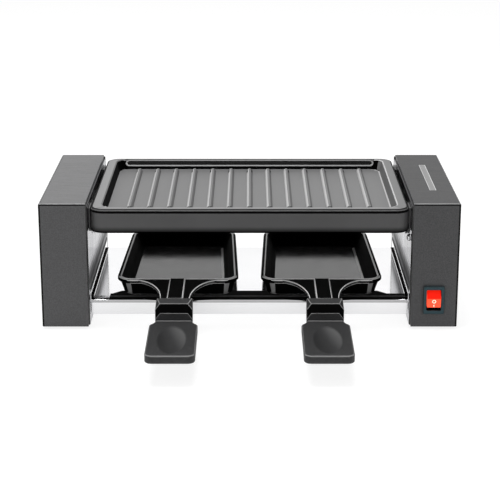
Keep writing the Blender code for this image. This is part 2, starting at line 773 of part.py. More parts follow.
def plate_ring(side, front, back, radius, z):
    """A rounded rectangle drawn in from the grill plate's outline by the given amounts."""
    x, near, far = PLATE_X - side, -PLATE_FRONT + front, PLATE_BACK - back
    outline = rounded_outline([(-x, near), (x, near), (x, far), (-x, far)], radius, 4)
    return [(point.x, point.y, z) for point in outline]


def even_ring(inset, z):
    return plate_ring(inset, inset, inset, PLATE_CORNER_R - inset, z)


def grill_plate(parent):
    """The casting: skirt, rolled rim, flat apron, recess with a stepped back wall and 13 ribs."""
    rim_side, rim_front, rim_back = (PLATE_RIM_R + apron for apron in (APRON_SIDE, APRON_FRONT, APRON_BACK))
    floor_side, floor_front = rim_side + RECESS_SLOPE, rim_front + RECESS_SLOPE
    ledge_back = rim_back + RECESS_SLOPE / 2
    floor_back = ledge_back + LEDGE_W
    shoulder = PLATE_TOP - PLATE_NECK_H
    arc_in = PLATE_RIM_R * (1 - math.cos(math.radians(45)))
    ledge_z = RECESS_FLOOR + LEDGE_H
    under = RECESS_FLOOR - PLATE_FLOOR_T
    groove = PLATE_WALL + PLATE_GROOVE
    ledge_side, ledge_front = (rim_side + floor_side) / 2, (rim_front + floor_front) / 2
    corner, kink = RECESS_CORNER_R, RECESS_SLOPE / 8
    rings = [
        even_ring(groove, under),
        even_ring(groove, under + PLATE_WALL),
        even_ring(PLATE_WALL, under + PLATE_WALL),
        even_ring(PLATE_WALL, PLATE_BOTTOM),
        even_ring(0, PLATE_BOTTOM),
        even_ring(0, shoulder - PLATE_NECK_IN),
        even_ring(PLATE_NECK_IN, shoulder),
        even_ring(arc_in / 2, PLATE_TOP - PLATE_RIM_R / 2),
        even_ring(PLATE_RIM_R / 2, PLATE_TOP - arc_in / 2),
        even_ring(PLATE_RIM_R, PLATE_TOP),
        plate_ring(rim_side, rim_front, rim_back, corner + RECESS_SLOPE, PLATE_TOP),
        plate_ring(ledge_side, ledge_front, ledge_back, corner + RECESS_SLOPE / 2, ledge_z),
        plate_ring(ledge_side + kink, ledge_front + kink, floor_back, corner + 3 * kink, ledge_z),
        plate_ring(floor_side, floor_front, floor_back, corner, RECESS_FLOOR),
    ]
    plate = piece("grill_plate", loft(rings), "plate_coating", parent, plate_origin())
    start = -PLATE_FRONT + floor_front + RIB_END_GAP
    end = PLATE_BACK - floor_back - RIB_END_GAP
    ribs = [rib((index - (RIB_COUNT - 1) / 2) * RIB_PITCH, start, end) for index in range(RIB_COUNT)]
    fuse(plate, helper("grill_plate_ribs", gather(ribs), parent, plate_origin()))


def plate_origin():
    return (0, 0, PLATE_BOTTOM)


def rib(x, start, end):
    """One rib with drawn-in ends."""
    rings = []
    for y, share in ((start, 0), (start + RIB_TAPER, 1), (end - RIB_TAPER, 1), (end, 0)):
        half = RIB_TOP_W / 2 + (RIB_W - RIB_TOP_W) / 2 * share
        top = RIB_TOP_W / 2 * (1 + share) / 2
        height = RIB_H * (1 + 3 * share) / 4
        root = half + OVERLAP * (half - top) / height
        rings.append([
            (x - root, y, RECESS_FLOOR - OVERLAP), (x + root, y, RECESS_FLOOR - OVERLAP),
            (x + top, y, RECESS_FLOOR + height), (x - top, y, RECESS_FLOOR + height),
        ])
    return loft(rings)


def plate_support(side, end, parent):
    """A folded bracket, spot-welded to the side plate, whose ledge carries the grill plate's skirt."""
    wall = WALL_X - CLEAR
    top = SUPPORT_TOP - SUPPORT_T + SUPPORT_H
    outline = [
        (wall, SUPPORT_TOP - SUPPORT_T), (wall, top), (wall - SUPPORT_T, top),
        (wall - SUPPORT_T, SUPPORT_TOP), (wall - SUPPORT_REACH, SUPPORT_TOP),
        (wall - SUPPORT_REACH, SUPPORT_TOP - SUPPORT_T),
    ]
    y = end * SUPPORT_Y - SUPPORT_L / 2
    shape = prism([(side * x, y, z) for x, z in outline], (0, SUPPORT_L, 0))
    piece(side_name(end_name("plate_support", end), side), shape, "black_enamel", parent)


def heater_route():
    """The heater's centre line: parallel runs joined by half-circle bends, both ends to the right."""
    points = [(HEATER_END_X, HEATER_YS[0], HEATER_Z)]
    bend_x = HEATER_X - HEATER_BEND_R
    for index, (near, far) in enumerate(zip(HEATER_YS, HEATER_YS[1:])):
        side = -1 if index % 2 == 0 else 1
        middle = (near + far) / 2
        for x, y in arc(0, middle, HEATER_BEND_R, HEATER_BEND_R, -90, 90, HEATER_BEND_STEPS):
            points.append((side * (bend_x + x), y, HEATER_Z))
    points.append((HEATER_END_X, HEATER_YS[-1], HEATER_Z))
    return points


def heater_end_y(end):
    return HEATER_YS[-1] if end > 0 else HEATER_YS[0]


def heater_end(end, parent):
    """The bush in the right side plate that carries one end of the heater, its pin and its bead."""
    y, pin_start = heater_end_y(end), HEATER_END_X + CLEAR
    start = (pin_start, y, HEATER_Z)
    pin = rod(PIN_R, start, (pin_start + PIN_L, y, HEATER_Z), ROUND_COARSE)
    piece(end_name("heater_pin", end), pin, "bright_steel", parent)
    bead = ring_bar(PIN_R + CLEAR, BEAD_R, start, (pin_start + BEAD_L, y, HEATER_Z), ROUND_COARSE)
    piece(end_name("pin_insulator", end), bead, "ceramic", parent)
    seat, crimp = WALL_X - CLEAR, TRAY_BACK_X + CLEAR
    bore = HEATER_R + CLEAR
    profile = [
        (bore, seat - BUSH_FLANGE_T), (BUSH_FLANGE_R, seat - BUSH_FLANGE_T), (BUSH_FLANGE_R, seat),
        (BUSH_NECK_R, seat), (BUSH_NECK_R, crimp), (BUSH_CRIMP_R, crimp),
        (BUSH_CRIMP_R, crimp + BUSH_FLANGE_T), (bore, crimp + BUSH_FLANGE_T),
    ]
    shape = turned(profile, (1, 0, 0), (0, y, HEATER_Z), ROUND_MEDIUM)
    piece(end_name("heater_bush", end), shape, "bright_steel", parent)


def holder_top():
    return HEATER_Z - HEATER_R - CLEAR


def strap_inner():
    """Inner radius of a strap's arch: the bend bows away from it within the strap's width."""
    bow = STRAP_W / 2 * math.tan(math.pi / (2 * HEATER_BEND_STEPS))
    return HEATER_R + bow + 2 * CLEAR


def strap_half_width():
    return strap_inner() + STRAP_T + STRAP_FOOT


def heater_holder(parent):
    """An angle, spot-welded to the left side plate, with a shelf under the heater's bends."""
    wall, top = WALL_X - CLEAR, holder_top()
    reach = HEATER_X - strap_half_width()
    outline = [
        (wall, top - HOLDER_LEG), (wall, top), (reach, top), (reach, top - HOLDER_T),
        (wall - HOLDER_T, top - HOLDER_T), (wall - HOLDER_T, top - HOLDER_LEG),
    ]
    half = HEATER_PITCH + STRAP_W / 2 + HOLDER_MARGIN
    shape = prism([(-x, -half, z) for x, z in outline], (0, 2 * half, 0))
    piece("heater_holder", shape, "bright_steel", parent)


def heater_strap(end, parent):
    """An arched strap that holds one of the heater's left bends down on the holder."""
    low = holder_top() + CLEAR
    inner, outer = strap_inner(), strap_inner() + STRAP_T
    foot_x = strap_half_width()
    over = arc(0, HEATER_Z, outer, outer, 0, 180, STRAP_ARC_STEPS)
    below = arc(0, HEATER_Z, inner, inner, 180, 0, STRAP_ARC_STEPS)
    outline = [
        (foot_x, low), (foot_x, low + STRAP_T), (outer, low + STRAP_T), *over,
        (-outer, low + STRAP_T), (-foot_x, low + STRAP_T), (-foot_x, low), (-inner, low), *below, (inner, low),
    ]
    y = end * HEATER_PITCH - STRAP_W / 2
    shape = prism([(-HEATER_X + x, y, z) for x, z in outline], (0, STRAP_W, 0))
    piece(end_name("heater_strap", end), shape, "bright_steel", parent)


def pan_half_width(y):
    """Half the pan's outline at y: it narrows evenly towards the back."""
    share = (y + PAN_FRONT) / (PAN_FRONT + PAN_BACK)
    return (PAN_W_FRONT + (PAN_W_BACK - PAN_W_FRONT) * share) / 2


def pan_ring(centre_x, inset, z):
    near, far = -PAN_FRONT + inset, PAN_BACK - inset
    front, back = pan_half_width(near) - inset, pan_half_width(far) - inset
    corners = [(-front, near), (front, near), (back, far), (-back, far)]
    radius = max(PAN_CORNER_R - inset, PAN_RIM_W)
    return [(centre_x + point.x, point.y, z) for point in rounded_outline(corners, radius, 4)]


def pan_sections():
    """(inset, height) pairs from under the pan, round its rim and down to its floor."""
    wall_out = PAN_OVERHANG + PAN_DRAFT_OUT
    outer = arc(
        wall_out + PAN_FILLET_OUT, PAN_BOTTOM + PAN_FILLET_OUT, PAN_FILLET_OUT, PAN_FILLET_OUT,
        270, 180, FILLET_STEPS
    )
    floor = PAN_BOTTOM + PAN_FLOOR_T
    wall_in = PAN_RIM_W + PAN_DRAFT_IN
    inner = arc(
        wall_in + PAN_FILLET_IN, floor + PAN_FILLET_IN, PAN_FILLET_IN, PAN_FILLET_IN, 180, 270, FILLET_STEPS
    )
    rim = [
        (PAN_OVERHANG, PAN_TOP - PAN_RIM_H), (0, PAN_TOP - PAN_RIM_H), (0, PAN_TOP - PAN_RIM_EDGE),
        (PAN_RIM_EDGE, PAN_TOP), (PAN_RIM_W - PAN_RIM_EDGE, PAN_TOP), (PAN_RIM_W, PAN_TOP - PAN_RIM_EDGE),
    ]
    return outer + rim + inner


def tang_outline(centre_x):
    """The tang from above: wide at the rim, drawn in by two hollow curves to the neck and tongue."""
    neck, root = TANG_NECK_W / 2, -PAN_FRONT + PAN_RIM_W / 2
    middle = -PAN_FRONT - TANG_FLARE_L + OVERLAP
    flare = arc(neck + TANG_FLARE, middle, TANG_FLARE, TANG_FLARE_L, 90, 180, TANG_ARC_STEPS)
    end = HANDLE_START + CLEAR
    right = [(neck + TANG_FLARE, root), *flare, (neck, end)]
    left = [(-x, y) for x, y in reversed(right)]
    return [(centre_x + x, y, TANG_TOP - TANG_T) for x, y in right + left]


def tongue_end():
    return HANDLE_START - TONGUE_L


def pan(side, parent):
    """A pan with its tang and the tongue that the handle holds, in one piece."""
    name = side_name("pan", side)
    x = side * PAN_X
    origin = (x, 0, PAN_BOTTOM)
    rings = [pan_ring(x, inset, z) for inset, z in pan_sections()]
    body = piece(name, loft(rings), "pan_coating", parent, origin)
    fuse(body, helper(f"{name}_tang", prism(tang_outline(x), (0, 0, TANG_T)), parent, origin))
    half, top = CHANNEL_W / 2, TANG_TOP + CHANNEL_H
    start, end = -PAN_FRONT - PAN_RIM_W / 2, HANDLE_START + CLEAR
    outline = [
        (x - half, TANG_TOP - OVERLAP), (x + half, TANG_TOP - OVERLAP), (x + half, TANG_TOP),
        (x + half - CHANNEL_H, top), (x - half + CHANNEL_H, top), (x - half, TANG_TOP),
    ]
    channel = prism([(px, start, z) for px, z in outline], (0, end - start, 0))
    fuse(body, helper(f"{name}_channel", channel, parent, origin))
    tongue = block(
        (x - TONGUE_W / 2, HANDLE_START + OVERRUN, TONGUE_TOP - TONGUE_T),
        (x + TONGUE_W / 2, tongue_end(), TONGUE_TOP),
    )
    fuse(body, helper(f"{name}_tongue", tongue, parent, origin))
    hole = rod(
        HANDLE_SCREW_R + CLEAR, (x, handle_screw_y(), TONGUE_TOP - TONGUE_T - OVERRUN),
        (x, handle_screw_y(), TONGUE_TOP + OVERRUN), ROUND_COARSE
    )
    cut(body, helper(f"{name}_hole", hole, parent, origin))


def handle_screw_y():
    return HANDLE_START - HANDLE_SCREW_BACK


def handle_section(x, y, half, top, side_w, side_h, bottom):
    """One cross-section of the handle: flat top, slanted upper sides, chamfered underside."""
    edge = PADDLE_EDGE
    return [
        (x - half, y, bottom + edge), (x - half, y, top - side_h), (x - half + side_w, y, top),
        (x + half - side_w, y, top), (x + half, y, top - side_h), (x + half, y, bottom + edge),
        (x + half - edge, y, bottom), (x - half + edge, y, bottom),
    ]


def handle_rings(x):
    neck, shoulder, wide = NECK_W / 2, NECK_W / 2 + NECK_FLARE, PADDLE_W / 2
    neck_low = NECK_TOP - NECK_T
    root_low = PADDLE_TOP - PADDLE_T
    tip_top = PADDLE_TOP - PADDLE_DROP
    tip_low = tip_top - PADDLE_T
    middle_top = NECK_TOP - STEP_UPPER_H
    sides = (STEP_SIDE_W, STEP_SIDE_H)
    flat = (PADDLE_EDGE, PADDLE_EDGE)
    rings = [
        handle_section(x, HANDLE_START, neck, NECK_TOP, *sides, neck_low),
        handle_section(x, STEP_Y, shoulder, NECK_TOP, *sides, (neck_low + 2 * root_low) / 3),
        handle_section(x, STEP_Y - CLEAR, shoulder, middle_top, *sides, (neck_low + 2 * root_low) / 3),
        handle_section(x, PADDLE_START, shoulder, middle_top, *sides, root_low),
        handle_section(x, PADDLE_START - CLEAR, shoulder, PADDLE_TOP, *flat, root_low),
        handle_section(x, PADDLE_START - PADDLE_SHOULDER, shoulder + PADDLE_EDGE, PADDLE_TOP, *flat, root_low),
        handle_section(x, PADDLE_START - 2 * PADDLE_SHOULDER, wide, PADDLE_TOP, *flat, root_low),
    ]
    corner_y = HANDLE_TIP + PADDLE_CORNER_R
    for along, out in arc(0, 0, PADDLE_CORNER_R, PADDLE_CORNER_R, 90, 10, 4):
        rings.append(handle_section(
            x, corner_y - along, wide - PADDLE_CORNER_R + out, tip_top, *flat, tip_low
        ))
    rings.append(handle_section(x, HANDLE_TIP, wide - PADDLE_CORNER_R, tip_top - PADDLE_EDGE, *flat,
                                tip_low + PADDLE_EDGE))
    return rings


def paddle_slope():
    run = PADDLE_L - 2 * PADDLE_SHOULDER - PADDLE_CORNER_R
    return math.atan2(PADDLE_DROP, run)


def dimple_cutter(x):
    """A shallow oval bowl for the thumb, tilted like the paddle."""
    radius = DIMPLE_W / 2
    sphere = (radius ** 2 + DIMPLE_DEPTH ** 2) / (2 * DIMPLE_DEPTH)
    reach = math.degrees(math.asin(radius / sphere))
    profile = arc(0, sphere - DIMPLE_DEPTH, sphere, sphere, -90, -90 + reach, 4)
    profile[0] = (0, profile[0][1])
    profile += [(radius, OVERRUN), (0, OVERRUN)]
    shape = turned(profile, (0, 0, 1), (0, 0, 0), ROUND_FINE)
    bmesh.ops.scale(shape, vec=(1, DIMPLE_L / DIMPLE_W, 1), verts=shape.verts)
    bmesh.ops.rotate(shape, verts=shape.verts, cent=(0, 0, 0), matrix=Matrix.Rotation(paddle_slope(), 3, "X"))
    middle = (PADDLE_START - 2 * PADDLE_SHOULDER + HANDLE_TIP) / 2
    start = PADDLE_START - 2 * PADDLE_SHOULDER
    level = PADDLE_TOP - math.tan(paddle_slope()) * (start - middle)
    bmesh.ops.translate(shape, vec=(x, middle, level), verts=shape.verts)
    return shape


def handle(side, parent):
    name = side_name("handle", side)
    x = side * PAN_X
    origin = (x, 0, PAN_BOTTOM)
    grip = piece(name, loft(handle_rings(x)), "handle_plastic", parent, origin)
    socket = block(
        (x - TONGUE_W / 2 - CLEAR, HANDLE_START + OVERRUN, TONGUE_TOP - TONGUE_T - CLEAR),
        (x + TONGUE_W / 2 + CLEAR, tongue_end() - CLEAR, TONGUE_TOP + CLEAR),
    )
    cut(grip, helper(f"{name}_socket", socket, parent, origin))
    cut(grip, helper(f"{name}_dimple", dimple_cutter(x), parent, origin))
    under = NECK_TOP - NECK_T - STEP_LOWER_H
    seat, tip = handle_screw_seat() + CLEAR, handle_screw_tip() + CLEAR
    profile = [
        (0, under), (HANDLE_SCREW_HEAD_R + CLEAR, under), (HANDLE_SCREW_HEAD_R + CLEAR, seat),
        (HANDLE_SCREW_R + CLEAR, seat), (HANDLE_SCREW_R + CLEAR, tip), (0, tip),
    ]
    hole = turned(profile, (0, 0, 1), (x, handle_screw_y(), 0), ROUND_COARSE)
    cut(grip, helper(f"{name}_screw_hole", hole, parent, origin))
    seat_place = (x, handle_screw_y(), handle_screw_seat())
    length = handle_screw_tip() - handle_screw_seat()
    shape = screw(seat_place, (0, 0, 1), length, HANDLE_SCREW_R, HANDLE_SCREW_HEAD_R, HANDLE_SCREW_HEAD_H)
    piece(side_name("handle_screw", side), shape, "bright_steel", parent, origin)


def handle_screw_seat():
    return NECK_TOP - NECK_T + HANDLE_SCREW_SINK + HANDLE_SCREW_HEAD_H


def handle_screw_tip():
    return (NECK_TOP + TONGUE_TOP) / 2


def switch_housing(parent):
    """Bezel and body of the switch, with the pocket in which the rocker turns."""
    half_w, half_h = BEZEL_W / 2, BEZEL_H / 2
    shape = block(
        (SWITCH_X - half_w, BEZEL_FRONT_Y, SWITCH_Z - half_h), (SWITCH_X + half_w, BEZEL_BACK_Y, SWITCH_Z + half_h)
    )
    front = [edge for edge in shape.edges if all(abs(v.co.y - BEZEL_FRONT_Y) < TINY for v in edge.verts)]
    round_edges(shape, front, BEZEL_EDGE, 1)
    housing = piece("switch_housing", shape, "switch_plastic", parent)
    half_w, half_h = SWITCH_BODY_W / 2, SWITCH_BODY_H / 2
    body = block(
        (SWITCH_X - half_w, BEZEL_BACK_Y - OVERLAP, SWITCH_Z - half_h),
        (SWITCH_X + half_w, BEZEL_BACK_Y + SWITCH_BODY_L, SWITCH_Z + half_h),
    )
    fuse(housing, helper("switch_housing_body", body, parent))
    half_w = ROCKER_W / 2 + ROCKER_GAP
    pocket = block(
        (SWITCH_X - half_w, BEZEL_FRONT_Y - OVERRUN, SWITCH_Z - ROCKER_OPENING_HALF_H),
        (SWITCH_X + half_w, ROCKER_Y + ROCKER_ROOT + ROCKER_ROOT_HALF_H, SWITCH_Z + ROCKER_OPENING_HALF_H),
    )
    cut(housing, helper("switch_housing_pocket", pocket, parent))
    reach = ROCKER_W / 2 + TRUNNION_L + CLEAR
    bore = rod(TRUNNION_R + CLEAR / 2, (SWITCH_X - reach, ROCKER_Y, SWITCH_Z), (SWITCH_X + reach, ROCKER_Y, SWITCH_Z))
    cut(housing, helper("switch_housing_bore", bore, parent))


def rocker(parent):
    """The red rocker, turned by its tilt so that its upper end is pressed in."""
    outline = [
        (-ROCKER_ENDS, ROCKER_HALF_H), (-ROCKER_RIDGE, 0), (-ROCKER_ENDS, -ROCKER_HALF_H),
        (ROCKER_ROOT, -ROCKER_ROOT_HALF_H), (ROCKER_ROOT, ROCKER_ROOT_HALF_H),
    ]
    shape = prism([(-ROCKER_W / 2, y, z) for y, z in outline], (ROCKER_W, 0, 0))
    bmesh.ops.rotate(shape, verts=shape.verts, cent=(0, 0, 0), matrix=Matrix.Rotation(-ROCKER_TILT, 3, "X"))
    knob = piece("switch_rocker", shape, "rocker_red", parent)
    reach = ROCKER_W / 2 + TRUNNION_L
    fuse(knob, helper("switch_rocker_trunnions", rod(TRUNNION_R, (-reach, 0, 0), (reach, 0, 0)), parent))


def switch_terminals(parent):
    start = BEZEL_BACK_Y + SWITCH_BODY_L + CLEAR
    half_w, half_t = SPADE_W / 2, SPADE_T / 2
    for level, z in zip(("lower", "upper"), switch_terminal_zs()):
        shape = block((SWITCH_X - half_w, start, z - half_t), (SWITCH_X + half_w, start + SPADE_L, z + half_t))
        piece(f"switch_terminal_{level}", shape, "terminal_brass", parent)


def switch_terminal_zs():
    return (SWITCH_Z - SPADE_SPREAD / 2, SWITCH_Z + SPADE_SPREAD / 2)


def block_pole_zs():
    first = CASE_BOTTOM + BLOCK_RISE + BLOCK_PITCH / 2
    return [first + index * BLOCK_PITCH for index in range(BLOCK_POLES)]


def terminal_block(parent):
    near, low = TRAY_BACK_X + CLEAR, CASE_BOTTOM + BLOCK_RISE
    high = low + BLOCK_POLES * BLOCK_PITCH
    shape = block((near, BLOCK_FRONT, low), (near + BLOCK_DEPTH, BLOCK_FRONT + BLOCK_L, high))
    body = piece("terminal_block", shape, "ceramic", parent)
    far, middle = near + BLOCK_DEPTH, BLOCK_FRONT + BLOCK_L / 2
    wells = [
        rod(BLOCK_WELL_R, (far - BLOCK_WELL_DEPTH, middle, z), (far + OVERRUN, middle, z), ROUND_COARSE)
        for z in block_pole_zs()
    ]
    cut(body, helper("terminal_block_wells", gather(wells), parent))


def thermal_cutout(parent):
    """A disc thermal cut-out on its plate, spot-welded to the back of the right side plate."""
    near, z = TRAY_BACK_X + CLEAR, CUTOUT_Z
    half_l, half_h = CUTOUT_PLATE_L / 2, CUTOUT_PLATE_H / 2
    plate = block((near, CUTOUT_BACK - half_l, z - half_h), (near + CUTOUT_PLATE_T, CUTOUT_BACK + half_l, z + half_h))
    piece("cutout_plate", plate, "bright_steel", parent)
    start = near + CUTOUT_PLATE_T + CLEAR
    body = rod(CUTOUT_R, (start, CUTOUT_BACK, z), (start + CUTOUT_H, CUTOUT_BACK, z), ROUND_FINE)
    piece("thermal_cutout", body, "switch_plastic", parent)
    for end, y in zip((-1, 1), cutout_pin_ys()):
        pin = rod(CUTOUT_PIN_R, (cutout_pin_x(), y, z), (cutout_pin_x() + CUTOUT_PIN_L, y, z), ROUND_COARSE)
        piece(end_name("cutout_terminal", end), pin, "terminal_brass", parent)


def cutout_pin_x():
    return TRAY_BACK_X + CLEAR + CUTOUT_PLATE_T + CLEAR + CUTOUT_H + CLEAR


def cutout_pin_ys():
    return (CUTOUT_BACK - CUTOUT_PIN_SPREAD / 2, CUTOUT_BACK + CUTOUT_PIN_SPREAD / 2)


def wires(parent):
    """Five internal wires between the block, the switch, the cut-out, the heater and the earth tag."""
    lane = TRAY_BACK_X + WIRE_LANE
    block_x, block_y = TRAY_BACK_X + CLEAR + BLOCK_DEPTH / 2, BLOCK_FRONT - CLEAR
    live_z, earth_z, neutral_z = block_pole_zs()
    spade_y = BEZEL_BACK_Y + SWITCH_BODY_L + SPADE_L + 2 * CLEAR
    lower_z, upper_z = switch_terminal_zs()
    pin_x = HEATER_END_X + PIN_L + 2 * CLEAR
    front_y, back_y = HEATER_YS[0], HEATER_YS[-1]
    cut_x, cut_z = cutout_pin_x() + CUTOUT_PIN_L + CLEAR, CUTOUT_Z
    cut_front, cut_back = cutout_pin_ys()
    stub = WIRE_STUB
    middle, high, top = upper_z + 3 * stub / 2, cut_z - stub, HEATER_Z - 2 * stub
    routes = {
        "wire_live": ("wire_brown", [
            (block_x, block_y, live_z), (block_x, block_y - stub, live_z),
            (block_x + stub, CUTOUT_BACK / 2, live_z - stub), (SWITCH_X, spade_y + 6 * stub, lower_z),
            (SWITCH_X, spade_y + stub, lower_z), (SWITCH_X, spade_y, lower_z),
        ]),
        "wire_switched": ("wire_brown", [
            (SWITCH_X, spade_y, upper_z), (SWITCH_X, spade_y + stub, upper_z),
            (lane, front_y + 3 * stub, middle), (lane, cut_front - stub, high),
            (cut_x + stub, cut_back - stub / 2, cut_z - stub / 2), (cut_x + stub / 2, cut_back, cut_z),
            (cut_x, cut_back, cut_z),
        ]),
        "wire_heater": ("wire_brown", [
            (cut_x, cut_front, cut_z), (cut_x + stub / 2, cut_front, cut_z),
            (cut_x + stub, cut_front - stub, cut_z + stub), (lane, (cut_front + front_y) / 2, top),
            (pin_x + stub, front_y + stub, HEATER_Z), (pin_x + stub / 2, front_y, HEATER_Z),
            (pin_x, front_y, HEATER_Z),
        ]),
        "wire_neutral": ("wire_blue", [
            (block_x, block_y, neutral_z), (block_x, block_y - stub, neutral_z),
            (block_x + stub, block_y - stub, high + stub), (lane - stub, BLOCK_FRONT, top),
            (pin_x + stub, back_y - stub, HEATER_Z), (pin_x + stub / 2, back_y, HEATER_Z),
            (pin_x, back_y, HEATER_Z),
        ]),
        "wire_earth": ("wire_earth", [
            (block_x, block_y, earth_z), (block_x, block_y - stub, earth_z),
            (block_x, CUTOUT_BACK, cut_z - CUTOUT_R - 2 * stub), (block_x, front_y + 4 * stub, high - stub),
            (block_x - stub / 2, front_y - stub, top - stub), earth_wire_turn(), earth_wire_end(),
        ]),
    }
    for name, (colour, points) in routes.items():
        tube(name, smooth_route(points), WIRE_R, colour, parent)


def earth_tail_direction():
    return Vector((0, 1, -1)).normalized()


def earth_middle():
    return Vector((TRAY_BACK_X + CLEAR, EARTH_Y, EARTH_Z))


def earth_wire_end():
    gap = EARTH_TAG_TAIL + 2 * CLEAR
    return earth_middle() + Vector((WIRE_R, 0, 0)) + earth_tail_direction() * gap


def earth_wire_turn():
    return earth_wire_end() + earth_tail_direction() * 2 * WIRE_STUB


def earth_parts(parent):
    """The earth screw in the right side plate, with its tag and nut behind."""
    middle = earth_middle()
    y, z = middle.y, middle.z
    head = [(0, -EARTH_HEAD_H), (EARTH_HEAD_R * 0.7, -EARTH_HEAD_H * 0.85), (EARTH_HEAD_R, -EARTH_HEAD_H / 2)]
    profile = head + [(EARTH_HEAD_R, 0), (EARTH_R, 0), (EARTH_R, EARTH_L), (0, EARTH_L)]
    shape = turned(profile, (1, 0, 0), (WALL_X - CLEAR, y, z), ROUND_MEDIUM)
    piece("earth_screw", shape, "bright_steel", parent)
    bore = EARTH_R + CLEAR
    shape = ring_bar(bore, EARTH_TAG_R, middle, middle + Vector((EARTH_TAG_T, 0, 0)))
    tag = piece("earth_tag", shape, "terminal_brass", parent)
    along, across = earth_tail_direction(), Vector((0, 1, 1)).normalized()
    half, edge = EARTH_TAG_TAIL_W / 2, EARTH_TAG_T / 8
    start = middle + Vector((edge, 0, 0)) + along * (bore + EARTH_TAG_R) / 2
    end = middle + Vector((edge, 0, 0)) + along * EARTH_TAG_TAIL
    tail = prism(
        [start - across * half, start + across * half, end + across * half, end - across * half],
        (EARTH_TAG_T - 2 * edge, 0, 0)
    )
    fuse(tag, helper("earth_tag_tail", tail, parent))
    seat = middle.x + EARTH_TAG_T + CLEAR
    nut = ring_bar(bore, EARTH_NUT_R, (seat, y, z), (seat + EARTH_NUT_T, y, z), 6)
    piece("earth_nut", nut, "bright_steel", parent)


def cord_gland(parent):
    """The bush in the back wall through which the supply cord enters."""
    outer, inner = FACE_Y + CLEAR, INNER_Y - CLEAR
    profile = [
        (GLAND_BORE_R, inner - GLAND_FLANGE_T), (GLAND_FLANGE_R, inner - GLAND_FLANGE_T),
        (GLAND_FLANGE_R, inner), (GLAND_NECK_R, inner), (GLAND_NECK_R, outer), (GLAND_FLANGE_R, outer),
        (GLAND_FLANGE_R - GLAND_FLANGE_T / 2, outer + GLAND_FLANGE_T), (GLAND_BORE_R, outer + GLAND_FLANGE_T),
    ]
    shape = turned(profile, (0, 1, 0), (TOWER_X, 0, GLAND_Z), ROUND_FINE)
    piece("cord_gland", shape, "switch_plastic", parent)


def badge_strip(parent):
    (low_x, low_y), (high_x, high_y) = badge_corners(0)
    top = CASE_TOP + BADGE_PROUD
    piece("badge_strip", block((low_x, low_y, top - BADGE_T), (high_x, high_y, top)), "badge_metal", parent)


def build():
    clear_scene()
    frame = empty("grill_frame", (0, FRAME_Y, 0))
    for side in (-1, 1):
        casing(side, frame)
        bottom_cover(side, frame)
        rear_screws(side, frame)
        side_plate(side, frame)
        for end in (-1, 1):
            casing_screw(side, end, frame)
            foot(side, end, frame)
            plate_support(side, end, frame)
        runner = empty(side_name("pan_runner", side), (side * PAN_X, 0, PAN_BOTTOM), frame)
        pan(side, runner)
        handle(side, runner)
    base_plate(frame)
    grill_plate(empty("plate_seat", plate_origin(), frame))
    tube("heater_tube", heater_route(), HEATER_R, "heater_steel", frame, sides=3)
    heater_holder(frame)
    for end in (-1, 1):
        heater_end(end, frame)
        heater_strap(end, frame)
    switch_housing(frame)
    rocker(empty("rocker_hinge", (SWITCH_X, ROCKER_Y, SWITCH_Z), frame))
    switch_terminals(frame)
    terminal_block(frame)
    thermal_cutout(frame)
    wires(frame)
    earth_parts(frame)
    cord_gland(frame)
    badge_strip(frame)


build()
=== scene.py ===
"""The raclette grill's finish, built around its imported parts: run as a script in Blender."""

import json
import math

import bmesh
import bpy
from bpy.props import FloatProperty, FloatVectorProperty, PointerProperty
from mathutils import Matrix, Vector


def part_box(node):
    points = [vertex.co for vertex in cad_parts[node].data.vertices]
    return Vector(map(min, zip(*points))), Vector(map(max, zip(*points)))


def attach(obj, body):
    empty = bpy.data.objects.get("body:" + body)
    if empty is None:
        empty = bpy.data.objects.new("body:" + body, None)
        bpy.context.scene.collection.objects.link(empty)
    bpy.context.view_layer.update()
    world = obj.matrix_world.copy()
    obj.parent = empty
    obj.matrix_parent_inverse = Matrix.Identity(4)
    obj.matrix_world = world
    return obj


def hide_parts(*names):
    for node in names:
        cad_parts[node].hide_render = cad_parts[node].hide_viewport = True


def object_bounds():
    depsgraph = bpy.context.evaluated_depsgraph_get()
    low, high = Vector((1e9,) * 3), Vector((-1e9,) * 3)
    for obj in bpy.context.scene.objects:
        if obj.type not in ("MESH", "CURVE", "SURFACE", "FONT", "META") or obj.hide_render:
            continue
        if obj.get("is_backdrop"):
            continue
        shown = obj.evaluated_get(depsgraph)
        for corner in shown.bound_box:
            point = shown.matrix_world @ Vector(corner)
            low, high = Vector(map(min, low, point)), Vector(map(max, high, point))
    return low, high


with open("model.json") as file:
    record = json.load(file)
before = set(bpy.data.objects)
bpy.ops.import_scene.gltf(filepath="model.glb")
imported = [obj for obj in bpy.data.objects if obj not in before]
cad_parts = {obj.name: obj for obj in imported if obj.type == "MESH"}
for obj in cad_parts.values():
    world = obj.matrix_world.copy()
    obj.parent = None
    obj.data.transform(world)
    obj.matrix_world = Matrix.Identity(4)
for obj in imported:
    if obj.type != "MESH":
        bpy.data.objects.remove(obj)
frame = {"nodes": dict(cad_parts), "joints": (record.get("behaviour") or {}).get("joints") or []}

bl_info = {
    "name": "Raclette Grill",
    "version": (1, 0, 0),
    "blender": (4, 5, 0),
    "location": "View3D > Sidebar > Raclette Grill",
    "description": "Builds and finishes a two-pan raclette grill",
    "category": "Object",
}

